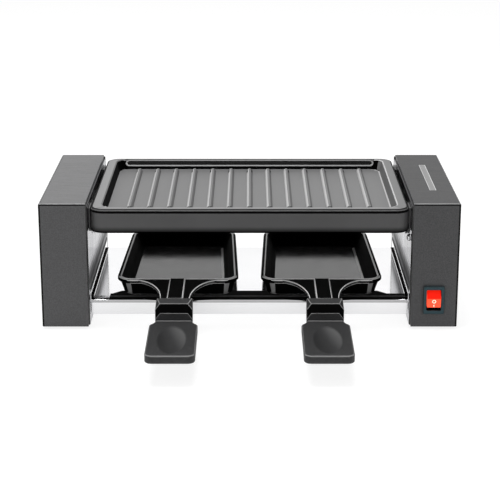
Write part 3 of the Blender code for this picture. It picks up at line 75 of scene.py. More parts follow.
MM = 0.001
NEAR = 0.001 * MM  # closer than this, two points are one
SIDES = ((-1, "left"), (1, "right"))
ENDS = ("front", "back")
WHITE = (1.0, 1.0, 1.0, 1.0)
NOISE_SPAN = (0.3, 0.7)  # where nearly all values of a noise pattern lie
WORLD_LIGHT = 0.42  # strength of the light that the surroundings shed
CEILING = 0.25  # how bright gloss shows them overhead
CEILING_HEIGHTS = (0.56, 0.68)  # where they start to darken, and where they are at CEILING
TABLE_GLOW = 1.16  # strength of the table top's own light, which only the camera and gloss see
TABLE_SHARE = 0.72  # how much of what they see is that light; the rest takes the shadow
CAMERA_LENS = 111.88
CAMERA_PLACE = (0.0003, -1.08295, 0.3793)
CAMERA_PITCH = math.radians(73.25)
# Name, place, aim, size, power, and whether gloss shows the lamp.
LAMPS = (
    ("lamp_overhead", (-0.15, 0.1, 1.5), (0.0, 0.0, 0.0), 0.9, 19.0, True),
    ("lamp_left", (-1.3, -0.9, 1.0), (0.0, 0.0, 0.05), 1.0, 6.0, False),
    ("lamp_right", (1.3, -1.0, 0.9), (0.0, 0.0, 0.05), 1.0, 4.5, False),
)


def colour_property(name, description, default):
    return FloatVectorProperty(
        name=name, description=description, default=default, subtype="COLOR", size=3, min=0.0, max=1.0
    )


def length_property(name, description, default):
    return FloatProperty(name=name, description=description, default=default, unit="LENGTH", min=0.0)


class GrillFinishSettings(bpy.types.PropertyGroup):
    paint: colour_property("Tower paint", "Satin paint on both towers", (0.062, 0.062, 0.064))
    coating: colour_property("Plate coating", "Non-stick coating of the grill plate", (0.132, 0.132, 0.133))
    enamel: colour_property("Pan coating", "Black coating of the pans", (0.005, 0.005, 0.0052))
    steel: colour_property("Steel", "Polished steel of the base and the inner walls", (0.86, 0.86, 0.87))
    plastic: colour_property("Handle plastic", "Matt plastic of the handles", (0.030, 0.030, 0.031))
    rocker: colour_property("Rocker", "The switch's rocker", (0.50, 0.006, 0.003))
    bezel: colour_property("Bezel", "The switch's frame", (0.016, 0.044, 0.054))


class GrillShapeSettings(bpy.types.PropertyGroup):
    tower_edge: length_property("Tower edge", "Rounding of the towers' outer edges", 1.5 * MM)
    tower_wall: length_property("Tower wall", "Wall thickness of the towers", 2.2 * MM)
    sheet: length_property("Sheet", "Thickness of the bent steel sheets", 0.8 * MM)
    plate_corner: length_property("Plate corner", "Corner radius of the grill plate", 10.0 * MM)
    plate_rim: length_property("Plate rim", "Radius of the grill plate's rolled rim", 1.5 * MM)
    recess_depth: length_property("Recess depth", "Depth of the grill plate's recess", 6.4 * MM)
    rib_pitch: length_property("Rib pitch", "Distance between the grill plate's ribs", 14.5 * MM)
    rib_height: length_property("Rib height", "Height of the ribs above the recess's floor", 2.0 * MM)
    pan_corner: length_property("Pan corner", "Corner radius of the pans", 12.5 * MM)
    pan_rim: length_property("Pan rim", "Width of the pans' rim", 3.0 * MM)


def shape_settings():
    return bpy.context.scene.grill_shape


def finish_settings():
    return bpy.context.scene.grill_finish


# Mesh helpers


def verts_in(made):
    """The vertices among what a mesh operation returned."""
    return [item for item in made if isinstance(item, bmesh.types.BMVert)]


def verts_of(items):
    """The vertices of some edges or faces, each once."""
    return list(dict.fromkeys(vert for item in items for vert in item.verts))


def settle(bm):
    """Merge doubled vertices and turn the faces outwards."""
    bmesh.ops.remove_doubles(bm, verts=bm.verts, dist=NEAR)
    bmesh.ops.recalc_face_normals(bm, faces=bm.faces)


def block(bm, low, high):
    """A box between two opposite corners."""
    low, high = Vector(low), Vector(high)
    size = high - low
    place = Matrix.Translation((low + high) / 2) @ Matrix.Diagonal((*size, 1.0))
    bmesh.ops.create_cube(bm, size=1.0, matrix=place)


def on_planes(item, planes):
    """Whether an edge or a face lies in each of some planes, given as {axis: value}."""
    return all(abs(vert.co[axis] - value) < NEAR for axis, value in planes.items() for vert in item.verts)


def edges_on(bm, *choices):
    """The edges that lie in all planes of any one choice."""
    return [edge for edge in bm.edges if any(on_planes(edge, planes) for planes in choices)]


def faces_on(bm, *choices):
    """The faces that lie in all planes of any one choice."""
    return [face for face in bm.faces if any(on_planes(face, planes) for planes in choices)]


def edges_along(bm, axis, least):
    """The edges that run more than a length along an axis."""
    return [edge for edge in bm.edges if abs(edge.verts[0].co[axis] - edge.verts[1].co[axis]) > least]


def round_edges(bm, edges, radius, steps):
    bmesh.ops.bevel(
        bm, geom=edges, offset=radius, offset_type="OFFSET", segments=steps, profile=0.5,
        affect="EDGES", material=-1, clamp_overlap=True,
    )


def pull_faces(bm, faces, run):
    """Pull flat faces along a run, to a closed body."""
    made = bmesh.ops.extrude_face_region(bm, geom=faces, use_keep_orig=True)["geom"]
    bmesh.ops.translate(bm, verts=verts_in(made), vec=run)


def pull_edges(bm, edges, run):
    """Pull edges along a run, to a strip of faces, and return what was made."""
    made = bmesh.ops.extrude_edge_only(bm, edges=edges)["geom"]
    bmesh.ops.translate(bm, verts=verts_in(made), vec=run)
    return made


def cut_across(bm, place, way):
    """Part the faces where a plane crosses them."""
    bmesh.ops.bisect_plane(bm, geom=bm.verts[:] + bm.edges[:] + bm.faces[:], plane_co=place, plane_no=way)


def open_shell(bm, spare, wall):
    """Take faces off a closed body and give the others a thickness."""
    bmesh.ops.delete(bm, geom=spare, context="FACES")
    bmesh.ops.recalc_face_normals(bm, faces=bm.faces)
    bmesh.ops.solidify(bm, geom=bm.faces[:], thickness=wall)


def rounded_face(bm, corners, radius, steps):
    """A flat face through the given corners, each rounded."""
    before = set(bm.faces)
    face = bm.faces.new([bm.verts.new(corner) for corner in corners])
    bmesh.ops.bevel(
        bm, geom=face.verts[:], offset=radius, offset_type="OFFSET", segments=steps, profile=0.5,
        affect="VERTICES", material=-1,
    )
    return next(face for face in bm.faces if face not in before)


def skin(bm, faces, along=(0.0, 0.0, 1.0)):
    """Join flat outlines into one closed body, in order: spread out, bridged and put back."""
    spread = 50.0 * MM * Vector(along)
    loops = [list(face.edges) for face in faces]
    rows = [list(face.verts) for face in faces]
    for index, row in enumerate(rows):
        bmesh.ops.translate(bm, verts=row, vec=spread * index)
    bmesh.ops.delete(bm, geom=faces[1:-1], context="FACES_ONLY")
    for near, far in zip(loops, loops[1:]):
        bmesh.ops.bridge_loops(bm, edges=near + far)
    for index, row in enumerate(rows):
        bmesh.ops.translate(bm, verts=row, vec=-spread * index)


def lathe(bm, profile, place, axis, steps):
    """Turn a profile of (radius, distance along the axis) about the axis through place."""
    axis = Vector(axis).normalized()
    across = axis.orthogonal().normalized()
    place = Vector(place)
    verts = [bm.verts.new(place + axis * along + across * radius) for radius, along in profile]
    edges = [bm.edges.new(pair) for pair in zip(verts, verts[1:])]
    bmesh.ops.spin(
        bm, geom=verts + edges, cent=place, axis=axis, angle=2 * math.pi, steps=steps,
        use_merge=True, use_normal_flip=False, use_duplicate=False,
    )


def in_mm(points):
    """Points given in millimetres, in metres."""
    return [tuple(value * MM for value in point) for point in points]


def prism(bm, points, run):
    """A flat outline pulled along a direction."""
    face = bm.faces.new([bm.verts.new(point) for point in points])
    pull_faces(bm, [face], run)


def loose_object(bm):
    """A mesh as an object of the scene, for a modifier to work on."""
    mesh = bpy.data.meshes.new("loose")
    bm.to_mesh(mesh)
    bm.free()
    obj = bpy.data.objects.new("loose", mesh)
    bpy.context.scene.collection.objects.link(obj)
    return obj


def carve(bm, tool):
    """Take a closed shape out of another and return what is left."""
    for shape in (bm, tool):
        settle(shape)
    body, cutter = loose_object(bm), loose_object(tool)
    cut = body.modifiers.new("cut", "BOOLEAN")
    cut.object = cutter
    cut.operation = "DIFFERENCE"
    cut.solver = "EXACT"
    ready = body.evaluated_get(bpy.context.evaluated_depsgraph_get())
    left = bmesh.new()
    left.from_mesh(ready.to_mesh())
    ready.to_mesh_clear()
    for obj in (body, cutter):
        mesh = obj.data
        bpy.data.objects.remove(obj)
        bpy.data.meshes.remove(mesh)
    return left


def rod(bm, radius, start, end, steps=32):
    """A round bar between two points."""
    start, end = Vector(start), Vector(end)
    run = end - start
    turn = Vector((0.0, 0.0, 1.0)).rotation_difference(run.normalized()).to_matrix().to_4x4()
    bmesh.ops.create_cone(
        bm, cap_ends=True, segments=steps, radius1=radius, radius2=radius, depth=run.length,
        matrix=Matrix.Translation((start + end) / 2) @ turn,
    )


def turn_and_move(bm, turn, place):
    """Turn a mesh about the origin, then move it to its place."""
    bmesh.ops.rotate(bm, verts=bm.verts, cent=(0.0, 0.0, 0.0), matrix=turn)
    bmesh.ops.translate(bm, verts=bm.verts, vec=place)


def round_sharp(bm, radius, steps=3, angle=30.0):
    """Round every edge at which the faces turn by more than an angle."""
    settle(bm)
    limit = math.radians(angle)
    inner = [edge for edge in bm.edges if len(edge.link_faces) == 2]
    round_edges(bm, [edge for edge in inner if edge.calc_face_angle() > limit], radius, steps)


def painted_edge_line(face):
    """The painted edge line of a face, from how tightly it turns over an outer edge: 0 where flat, 1 at a
    radius of 1 mm or less.
    """
    if max(abs(part) for part in face.normal) > 0.9995:
        return 0.0
    tightest = 0.0
    for edge in face.edges:
        if len(edge.link_faces) == 2:
            other = next(item for item in edge.link_faces if item is not face)
            gap = (other.calc_center_median() - face.calc_center_median()).length
            tightest = max(tightest, edge.calc_face_angle_signed(0.0) / max(gap, NEAR))
    return min(max(tightest * MM * 1.3 - 0.3, 0.0), 1.0)


def piece(bm, name, material, body, *nodes, angle=32.0, weighted=True, tone=painted_edge_line):
    """Make an object of a finished mesh, standing for the given nodes and moving with a body."""
    settle(bm)
    # Each face carries painted light and shade, which its material paints into the colour.
    layer = bm.faces.layers.float.new("tone")
    for face in bm.faces:
        face[layer] = tone(face)
    mesh = bpy.data.meshes.new(name)
    bm.to_mesh(mesh)
    bm.free()
    mesh.polygons.foreach_set("use_smooth", [True] * len(mesh.polygons))
    mesh.set_sharp_from_angle(angle=math.radians(angle))
    mesh.materials.append(material)
    obj = bpy.data.objects.new(name, mesh)
    bpy.context.scene.collection.objects.link(obj)
    if weighted:
        normals = obj.modifiers.new("even_shading", "WEIGHTED_NORMAL")
        normals.keep_sharp = True
        normals.weight = 100
    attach(obj, body)
    if nodes:
        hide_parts(*nodes)


# Materials


def add_node(tree, kind, **inputs):
    """Add a node to a tree, with inputs set by name."""
    node = tree.nodes.new(kind)
    for key, value in inputs.items():
        node.inputs[key.replace("_", " ")].default_value = value
    return node


class Finish:
    """A material under construction: one shader, fed by patterns in object coordinates."""

    def __init__(self, name, colour, roughness, metallic=0.0, **sockets):
        self.material = bpy.data.materials.new(name)
        self.material.use_nodes = True
        self.tree = self.material.node_tree
        self.shader = self.tree.nodes["Principled BSDF"]
        self.colour = (*colour, 1.0)
        self.set("Base Color", self.colour)
        self.set("Roughness", roughness)
        self.set("Metallic", metallic)
        for socket, value in sockets.items():
            self.set(socket.replace("_", " "), value)
        self.material.diffuse_color = self.colour
        self.place = self.node("ShaderNodeTexCoord").outputs["Object"]

    def set(self, socket, value):
        self.shader.inputs[socket].default_value = value

    def node(self, kind, **inputs):
        return add_node(self.tree, kind, **inputs)

    def link(self, start, end):
        self.tree.links.new(start, end)

    def stretched(self, scale):
        """Object coordinates stretched by a scale on each axis."""
        mapping = self.node("ShaderNodeMapping", Scale=scale)
        self.link(self.place, mapping.inputs["Vector"])
        return mapping.outputs["Vector"]

    def noise(self, scale, detail=3.0, vector=None):
        node = self.node("ShaderNodeTexNoise", Scale=scale, Detail=detail)
        self.link(vector or self.place, node.inputs["Vector"])
        return node.outputs["Fac"]

    def tone(self):
        """The painted light and shade that each face of the mesh carries, from -1 for painted shade to 1 for
        painted light.
        """
        node = self.node("ShaderNodeAttribute")
        node.attribute_name = "tone"
        return node.outputs["Fac"]

    def tint(self, value, dark, light):
        """Vary the base colour between two shares of itself."""
        ramp = self.node("ShaderNodeValToRGB")
        for element, position, share in zip(ramp.color_ramp.elements, NOISE_SPAN, (dark, light)):
            element.position = position
            element.color = (*(min(channel * share, 1.0) for channel in self.colour[:3]), 1.0)
        self.link(value, ramp.inputs["Fac"])
        self.link(ramp.outputs["Color"], self.shader.inputs["Base Color"])

    def rough(self, value, low, high):
        """Vary the roughness between two values."""
        least, most = NOISE_SPAN
        node = self.node("ShaderNodeMapRange", From_Min=least, From_Max=most, To_Min=low, To_Max=high)
        self.link(value, node.inputs["Value"])
        self.link(node.outputs["Result"], self.shader.inputs["Roughness"])

    def mix_into(self, socket, share, plain, goal):
        """Mix what feeds a socket, or else a plain colour, with another one by a share."""
        mix = self.node("ShaderNodeMixRGB", Color1=plain, Color2=goal)
        if socket.links:
            self.link(socket.links[0].from_socket, mix.inputs["Color1"])
        self.link(share, mix.inputs["Fac"])
        self.link(mix.outputs["Color"], socket)

    def paint_light_and_shade(self, light, dark=(0.002, 0.002, 0.002), dull=None):
        """Paint light and shade into the colour: towards a light colour, as painted highlights, where the
        value is above 0, and darker, as painted shade, where it is below.
        """
        tone = self.tone()
        base, rough, metallic = (self.shader.inputs[key] for key in ("Base Color", "Roughness", "Metallic"))
        for goal, shade in ((1.0, light), (-1.0, dark)):
            span = self.node("ShaderNodeMapRange", From_Max=goal)
            self.link(tone, span.inputs["Value"])
            share = span.outputs["Result"]
            self.mix_into(base, share, self.colour, (*shade, 1.0))
        # Painted shade also turns rough and, on a material that is not metal, metallic and black, so that it
        # shows no reflection.
        if dull is not None:
            plain = (rough.default_value,) * 3
            self.mix_into(rough, share, (*plain, 1.0), (dull, dull, dull, 1.0))
            if metallic.default_value == 0.0:
                self.link(share, metallic)

    def bump(self, value, height, strength, under=None):
        node = self.node("ShaderNodeBump", Strength=strength, Distance=height)
        self.link(value, node.inputs["Height"])
        if under is not None:
            self.link(under, node.inputs["Normal"])
        self.link(node.outputs["Normal"], self.shader.inputs["Normal"])
        return node.outputs["Normal"]


MATERIALS = {}


def finish(name):
    """The material of a finish, made when it is first asked for."""
    if name not in MATERIALS:
        MATERIALS[name] = FINISHES[name]().material
    return MATERIALS[name]


def mottled(name, colour, roughness, metallic=0.0, tint=None, rough=None, bump=None, tone=None, **sockets):
    """Noise varies tint and roughness (scale, low, high) and bump (scale, detail, mm, strength)."""
    made = Finish(name, colour, roughness, metallic, **sockets)
    made.tint(made.noise(tint[0]), *tint[1:])
    if rough:
        made.rough(made.noise(rough[0]), *rough[1:])
    if bump:
        scale, detail, height, strength = bump
        made.bump(made.noise(scale, detail), height * MM, strength)
    if tone:
        made.paint_light_and_shade(*tone)
    return made


def tower_paint():
    """Satin paint with a fine grain and faint streaks."""
    made = Finish("tower_paint", finish_settings().paint, 0.4)
    grain = made.noise(1800.0, 2.0)
    cloud = made.noise(35.0, 3.0)
    streaks = made.noise(1.0, 2.0, made.stretched((60.0, 900.0, 300.0)))
    made.tint(made.noise(1100.0, 4.0), 0.72, 1.3)
    made.rough(streaks, 0.34, 0.44)
    made.bump(cloud, 0.05 * MM, 0.2, made.bump(grain, 0.06 * MM, 0.5))
    # Painted light: upturned rounded edges painted light, other edges and corners painted dark, and the right
    # tower painted darker than the left.
    made.paint_light_and_shade((0.34, 0.34, 0.345), (0.004, 0.004, 0.004), 0.9)
    return made


def wall_steel():
    """The inner walls: polished, with soft upright streaks."""
    made = Finish("wall_steel", finish_settings().steel, 0.16, 1.0)
    made.set("Specular Tint", (0.62, 0.62, 0.63, 1.0))
    streaks = made.noise(1.0, 3.0, made.stretched((70.0, 110.0, 9.0)))
    fine = made.noise(1.0, 2.0, made.stretched((900.0, 900.0, 14.0)))
    made.tint(streaks, 0.5, 1.0)
    made.rough(fine, 0.09, 0.17)
    made.bump(fine, 0.004 * MM, 0.25)
    # Painted reflections: the bends are painted dark; painted shade darkens the wall above the base's lip and
    # at its back end.
    made.paint_light_and_shade((0.05, 0.05, 0.05), (0.01, 0.01, 0.01), 0.9)
    return made


def tray_steel():
    """The base: polished almost to a mirror, with faint streaks from side to side."""
    made = Finish("tray_steel", finish_settings().steel, 0.07, 1.0)
    streaks = made.noise(1.0, 2.0, made.stretched((14.0, 900.0, 900.0)))
    made.tint(made.noise(18.0), 1.07, 1.14)
    made.rough(streaks, 0.05, 0.11)
    made.bump(streaks, 0.004 * MM, 0.25)
    # Painted reflections and painted shade darken it behind its front edge, along its lips and on its front
    # flange.
    made.paint_light_and_shade((0.25, 0.25, 0.25), (0.004, 0.004, 0.004), 0.95)
    return made


def plate_coating():
    """The plate's matt non-stick coating, a little uneven."""
    made = Finish("plate_coating", finish_settings().coating, 0.42, Specular_IOR_Level=0.3)
    cloud = made.noise(22.0, 3.0)
    made.tint(cloud, 0.9, 1.1)
    made.rough(cloud, 0.38, 0.46)
    made.bump(made.noise(2400.0, 2.0), 0.03 * MM, 0.3)
    # Painted highlights along the plate's edges, painted shade in its recess, grooves and skirt.
    made.paint_light_and_shade((0.80, 0.80, 0.80), (0.001, 0.001, 0.001), 0.95)
    return made


def handle_plastic():
    """Moulded plastic with an eroded grain."""
    made = Finish("handle_plastic", finish_settings().plastic, 0.5, Specular_IOR_Level=0.25)
    made.tint(made.noise(1400.0, 4.0), 0.6, 1.14)
    grain = made.noise(2400.0, 3.0)
    made.rough(grain, 0.44, 0.58)
    made.bump(grain, 0.12 * MM, 0.7)
    # Painted highlights on the grips' edges and lip, painted shade on their risers and steps.
    made.paint_light_and_shade((0.21, 0.21, 0.21), (0.001, 0.001, 0.001), 0.9)
    return made


def rocker_red():
    """Clear red plastic, lit from inside, with a painted sheen that makes its lower face brighter."""
    made = Finish("rocker_red", finish_settings().rocker, 0.3, Specular_IOR_Level=0.12)
    made.set("Emission Strength", 0.8)
    made.tint(made.noise(220.0), 0.95, 1.04)
    made.paint_light_and_shade((0.55, 0.06, 0.03))
    # The painted sheen also makes the lower face glow brighter.
    glow = made.shader.inputs["Emission Color"]
    made.mix_into(glow, made.tone(), (0.75, 0.012, 0.002, 1.0), (1.0, 0.085, 0.03, 1.0))
    return made


def marking():
    """The rocker's pale print, lit through."""
    made = Finish("marking", (0.95, 0.86, 0.70), 0.4)
    made.set("Emission Color", (1.0, 0.85, 0.6, 1.0))
    made.set("Emission Strength", 0.35)
    made.tint(made.noise(900.0), 0.95, 1.04)
    return made


def badge_metal():
    """Metal brushed from front to back."""
    made = Finish("badge_metal", (0.55, 0.55, 0.55), 0.34, 1.0)
    streaks = made.noise(1.0, 2.0, made.stretched((2600.0, 60.0, 60.0)))
    made.tint(streaks, 0.85, 1.1)
    made.rough(streaks, 0.3, 0.42)
    made.bump(streaks, 0.006 * MM, 0.4)
    # Painted highlight on the raised border, painted shade in the sunken middle.
    made.paint_light_and_shade((0.9, 0.9, 0.9), (0.12, 0.12, 0.12))
    return made


FINISHES = {
    "case_paint": tower_paint,
    "cover_paint": lambda: mottled(
        "cover_paint", (0.030, 0.030, 0.031), 0.6, tint=(60.0, 0.85, 1.15), bump=(2600.0, 2.0, 0.06, 0.5)
    ),
    "polished_steel": tray_steel,
    "wall_steel": wall_steel,
    # Painted shade darkens the rims of the screw heads; painted highlights lighten the rest.
    "bright_steel": lambda: mottled(
        "bright_steel", (0.66, 0.66, 0.67), 0.22, 1.0, tint=(140.0, 0.9, 1.05), rough=(420.0, 0.17, 0.3),
        tone=((0.9, 0.9, 0.9), (0.01, 0.01, 0.01), 0.9),
    ),
    "black_enamel": lambda: mottled(
        "black_enamel", (0.014, 0.014, 0.0145), 0.28, tint=(160.0, 0.8, 1.2), bump=(900.0, 2.0, 0.02, 0.4)
    ),
    "plate_coating": plate_coating,
    # Painted highlights along the pans' edges; painted shade turns the rest black.
    "pan_coating": lambda: mottled(
        "pan_coating", finish_settings().enamel, 0.16, tint=(40.0, 0.85, 1.15), rough=(90.0, 0.13, 0.2),
        bump=(1600.0, 2.0, 0.015, 0.25), tone=((0.60, 0.60, 0.60), (0.001, 0.001, 0.001), 0.95),
        Specular_IOR_Level=0.4,
    ),
    "handle_plastic": handle_plastic,
    "heater_steel": lambda: mottled(
        "heater_steel", (0.24, 0.235, 0.23), 0.42, 1.0, tint=(55.0, 0.75, 1.2), rough=(300.0, 0.36, 0.5)
    ),
    "ceramic": lambda: mottled(
        "ceramic", (0.78, 0.76, 0.70), 0.55, tint=(200.0, 0.95, 1.03), bump=(1500.0, 3.0, 0.03, 0.4)
    ),
    "foot_rubber": lambda: mottled(
        "foot_rubber", (0.018, 0.018, 0.018), 0.85, tint=(400.0, 0.8, 1.2), bump=(2200.0, 3.0, 0.06, 0.5)
    ),
    # Its rounded edges are painted darker, as shade.
    "switch_plastic": lambda: mottled(
        "switch_plastic", finish_settings().bezel, 0.4, tint=(300.0, 0.9, 1.1), bump=(2600.0, 2.0, 0.02, 0.3),
        tone=((0.012, 0.016, 0.018),), Specular_IOR_Level=0.25,
    ),
    "rocker_red": rocker_red,
    "marking": marking,
    "terminal_brass": lambda: mottled(
        "terminal_brass", (0.72, 0.54, 0.27), 0.28, 1.0, tint=(250.0, 0.85, 1.05), rough=(500.0, 0.22, 0.36)
    ),
    "badge_metal": badge_metal,
    "wire_brown": lambda: mottled("wire_brown", (0.19, 0.08, 0.035), 0.45, tint=(500.0, 0.9, 1.1)),
    "wire_blue": lambda: mottled("wire_blue", (0.03, 0.11, 0.42), 0.45, tint=(500.0, 0.9, 1.1)),
    "wire_earth": lambda: mottled("wire_earth", (0.22, 0.42, 0.04), 0.45, tint=(500.0, 0.9, 1.1)),
}


# Towers


def build_tower(side, name):
    """A folded and painted shell, open towards the grill and underneath."""
    size = shape_settings()
    low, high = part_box(f"casing_{name}")
    rim, out = (low.x, high.x) if side > 0 else (high.x, low.x)
    bm = bmesh.new()
    block(bm, low, high)
    outer = edges_on(
        bm, {0: out, 2: high.z}, {1: low.y, 2: high.z}, {1: high.y, 2: high.z},
        {0: out, 1: low.y}, {0: out, 1: high.y},
    )
    round_edges(bm, outer, size.tower_edge, 4)
    round_edges(bm, edges_on(bm, {0: out, 2: low.z}), size.tower_edge, 4)
    open_shell(bm, faces_on(bm, {0: rim}, {2: low.z}), size.tower_wall)
    if side > 0:
        bm = carve(bm, tower_openings())
    # A strip behind the inner wall closes the corner, from the wall's face to the shell's rim.
    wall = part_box(f"side_plate_{name}")
    face = wall[0].x if side > 0 else wall[1].x
    edge = (face, rim) if side > 0 else (rim, face)
    over, behind, below = 0.02 * MM, 0.2 * MM, 1.5 * MM
    block(
        bm, (edge[0] - over, wall[1].y + behind, low.z + over),
        (edge[1] + over, high.y - over, high.z - below),
    )
    piece(bm, f"tower_{name}", finish("case_paint"), "body", f"casing_{name}", tone=tower_painted_light)


def tower_painted_light(face):
    """Painted light on the towers: a rounded edge gets a painted dark line, a painted highlight and another
    painted dark line, and the corners painted shade; the left tower's top and front are painted lighter than
    the right's.
    """
    place, normal = face.calc_center_median(), face.normal
    tone = painted_edge_line(face)
    if normal.z > 0.9:
        return -0.45 if tone > 0.1 else (0.07 if place.x < 0.0 else -0.28)
    if tone > 0.1:
        return 1.0 if normal.z > 0.7 else -0.85
    if normal.y < -0.95:
        return -0.1 if place.x < 0.0 else -0.24
    return 0.0


def tower_openings():
    """The openings for the switch, the cord gland and the badge strip."""
    tool = bmesh.new()
    low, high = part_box("switch_housing")
    wall = 4.0 * MM
    inset = 0.9 * MM
    block(
        tool, (low.x + inset, low.y - MM, low.z + inset),
        (high.x - inset, low.y + wall + MM, high.z - inset),
    )
    low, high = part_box("cord_gland")
    middle = (low + high) / 2
    rod(tool, 4.9 * MM, (middle.x, low.y, middle.z), (middle.x, high.y + MM, middle.z), 48)
    low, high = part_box("badge_strip")
    gap = Vector((0.15, 0.15, 0.15)) * MM
    block(tool, low - gap, high + gap + Vector((0.0, 0.0, MM)))
    return tool


# Sheet metal


def build_side_plate(side, name):
    """The polished inner wall of a tower, folded back at its ends and top."""
    low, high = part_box(f"side_plate_{name}")
    face, back = (low.x, high.x) if side > 0 else (high.x, low.x)
    bm = bmesh.new()
    block(bm, low, high)
    bends = edges_on(bm, {0: face, 1: low.y}, {0: face, 1: high.y}, {0: face, 2: high.z})
    round_edges(bm, bends, 1.0 * MM, 4)
    open_shell(bm, faces_on(bm, {0: back}, {2: low.z}), shape_settings().sheet)
    if side > 0:
        bm = carve(bm, inner_wall_openings(face))
    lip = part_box("base_plate")[1].z
    # Painted shade: a dark band on the wall from 0.5 mm above the base's lip, darkest 4 to 8 mm up and fading
    # out by 20 mm.
    shade = ((0.5, 0.0), (4.0, -0.45), (8.0, -0.62), (12.0, -0.42), (16.0, -0.22), (20.0, -0.08))
    for rise, _ in shade:
        cut_across(bm, (0.0, 0.0, lip + rise * MM), (0.0, 0.0, 1.0))

    def tone(item):
        place, normal = item.calc_center_median(), item.normal
        # Painted shade: the back end is painted black.
        if normal.y > 0.3 and place.y > high.y - 1.2 * MM:
            return -1.0
        if abs(normal.x) < 0.99:
            return painted_edge_line(item)
        above = (place.z - lip) / MM
        return next((value for rise, value in shade if above < rise), 0.0) if above > 0.0 else 0.0

    piece(bm, f"inner_wall_{name}", finish("wall_steel"), "body", f"side_plate_{name}", tone=tone)


def inner_wall_openings(face):
    """Holes for the heater's two ends and the earth screw."""
    tool = bmesh.new()
    holes = (("heater_bush_front", 4.6 * MM), ("heater_bush_back", 4.6 * MM), ("earth_screw", 1.8 * MM))
    for node, radius in holes:
        low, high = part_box(node)
        middle = (low + high) / 2
        rod(tool, radius, (face - 2 * MM, middle.y, middle.z), (face + 2 * MM, middle.y, middle.z))
    return tool


def build_base_plate():
    """One bent sheet: a floor that falls away at the front, side lips up, end flanges down."""
    low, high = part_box("base_plate")
    sheet = shape_settings().sheet
    lip, bend = 8.0 * MM, 2.5 * MM
    floor = high.z - lip
    slope, fall = 9.0 * MM, 0.25 * MM
    bm = bmesh.new()
    rows = [
        (low.y, low.z), (low.y, floor - fall), (low.y + slope, floor), (high.y, floor), (high.y, low.z),
    ]
    verts = [bm.verts.new((low.x, y, z)) for y, z in rows]
    edges = [bm.edges.new(pair) for pair in zip(verts, verts[1:])]
    pull_edges(bm, edges, (high.x - low.x, 0.0, 0.0))
    folds = [edge for edge in bm.edges if len(edge.link_faces) == 2 and edge.calc_face_angle() > 1.0]
    sides = [
        edge for edge in bm.edges if len(edge.link_faces) == 1
        and all(vert.co.z > floor - 2 * fall for vert in edge.verts)
        and abs(edge.verts[0].co.x - edge.verts[1].co.x) < NEAR
    ]
    pull_edges(bm, sides, (0.0, 0.0, lip))
    round_edges(bm, folds, bend, 5)
    # Faces are parted where the painted light changes: along the lips, and in bands behind the front edge,
    # where the pans' painted reflection lies.
    foot, crest = 1.3 * MM, 2.6 * MM
    painted_reflection_start = low.x + 13.0 * MM
    painted_reflection_bands = ((5.6 * MM, -0.97), (7.6 * MM, -0.72), (12.5 * MM, -0.97), (19.0 * MM, -0.97))
    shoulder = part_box("pan_right")[1].x + 4.0 * MM + painted_reflection_bands[2][0]
    cuts = [((x, 0.0, 0.0), (1.0, 0.0, 0.0)) for x in (low.x + foot, high.x - foot, painted_reflection_start)]
    cuts.append(((0.0, 0.0, high.z - crest), (0.0, 0.0, 1.0)))
    cuts += [((0.0, low.y + depth, 0.0), (0.0, 1.0, 0.0)) for depth, _ in painted_reflection_bands]
    cuts += [((way * shoulder, low.y, 0.0), (way, 1.0, 0.0)) for way in (-1.0, 1.0)]
    for place, way in cuts:
        cut_across(bm, place, way)
    bmesh.ops.recalc_face_normals(bm, faces=bm.faces)
    flat = max(bm.faces, key=lambda face: face.calc_area())
    if flat.normal.z < 0:
        bmesh.ops.reverse_faces(bm, faces=bm.faces)
    bmesh.ops.solidify(bm, geom=bm.faces[:], thickness=sheet)

    def tone(face):
        # Painted light on the tray: its front slope painted black as a reflection, a painted shadow along
        # each lip's foot, painted shade on the lips' crests and the front flange, and the pans' painted
        # reflection in bands behind the front edge.
        place, normal = face.calc_center_median(), face.normal
        facing = abs(normal.x) < 0.1 and normal.z > 0.05 and normal.y < -0.05
        if place.y < low.y + slope and facing:
            return -1.0 if normal.z > 0.72 else (-0.7 if normal.z < 0.4 else 0.0)
        on_floor = floor - 0.5 * MM < place.z < floor + MM and normal.z > 0.9
        if on_floor and abs(place.x) > high.x - foot:
            return -1.0
        if place.z > high.z - crest:
            return -0.8
        if normal.y < -0.9:
            return -0.2
        reach = place.y - low.y
        in_painted_reflection = place.x > painted_reflection_start and (reach < painted_reflection_bands[2][0] or abs(place.x) + reach < shoulder)
        if normal.z > 0.9 and in_painted_reflection:
            return next((shade for depth, shade in painted_reflection_bands if reach < depth), 0.0)
        return 0.0

    piece(bm, "base_tray", finish("polished_steel"), "body", "base_plate", tone=tone)


# Grill plate


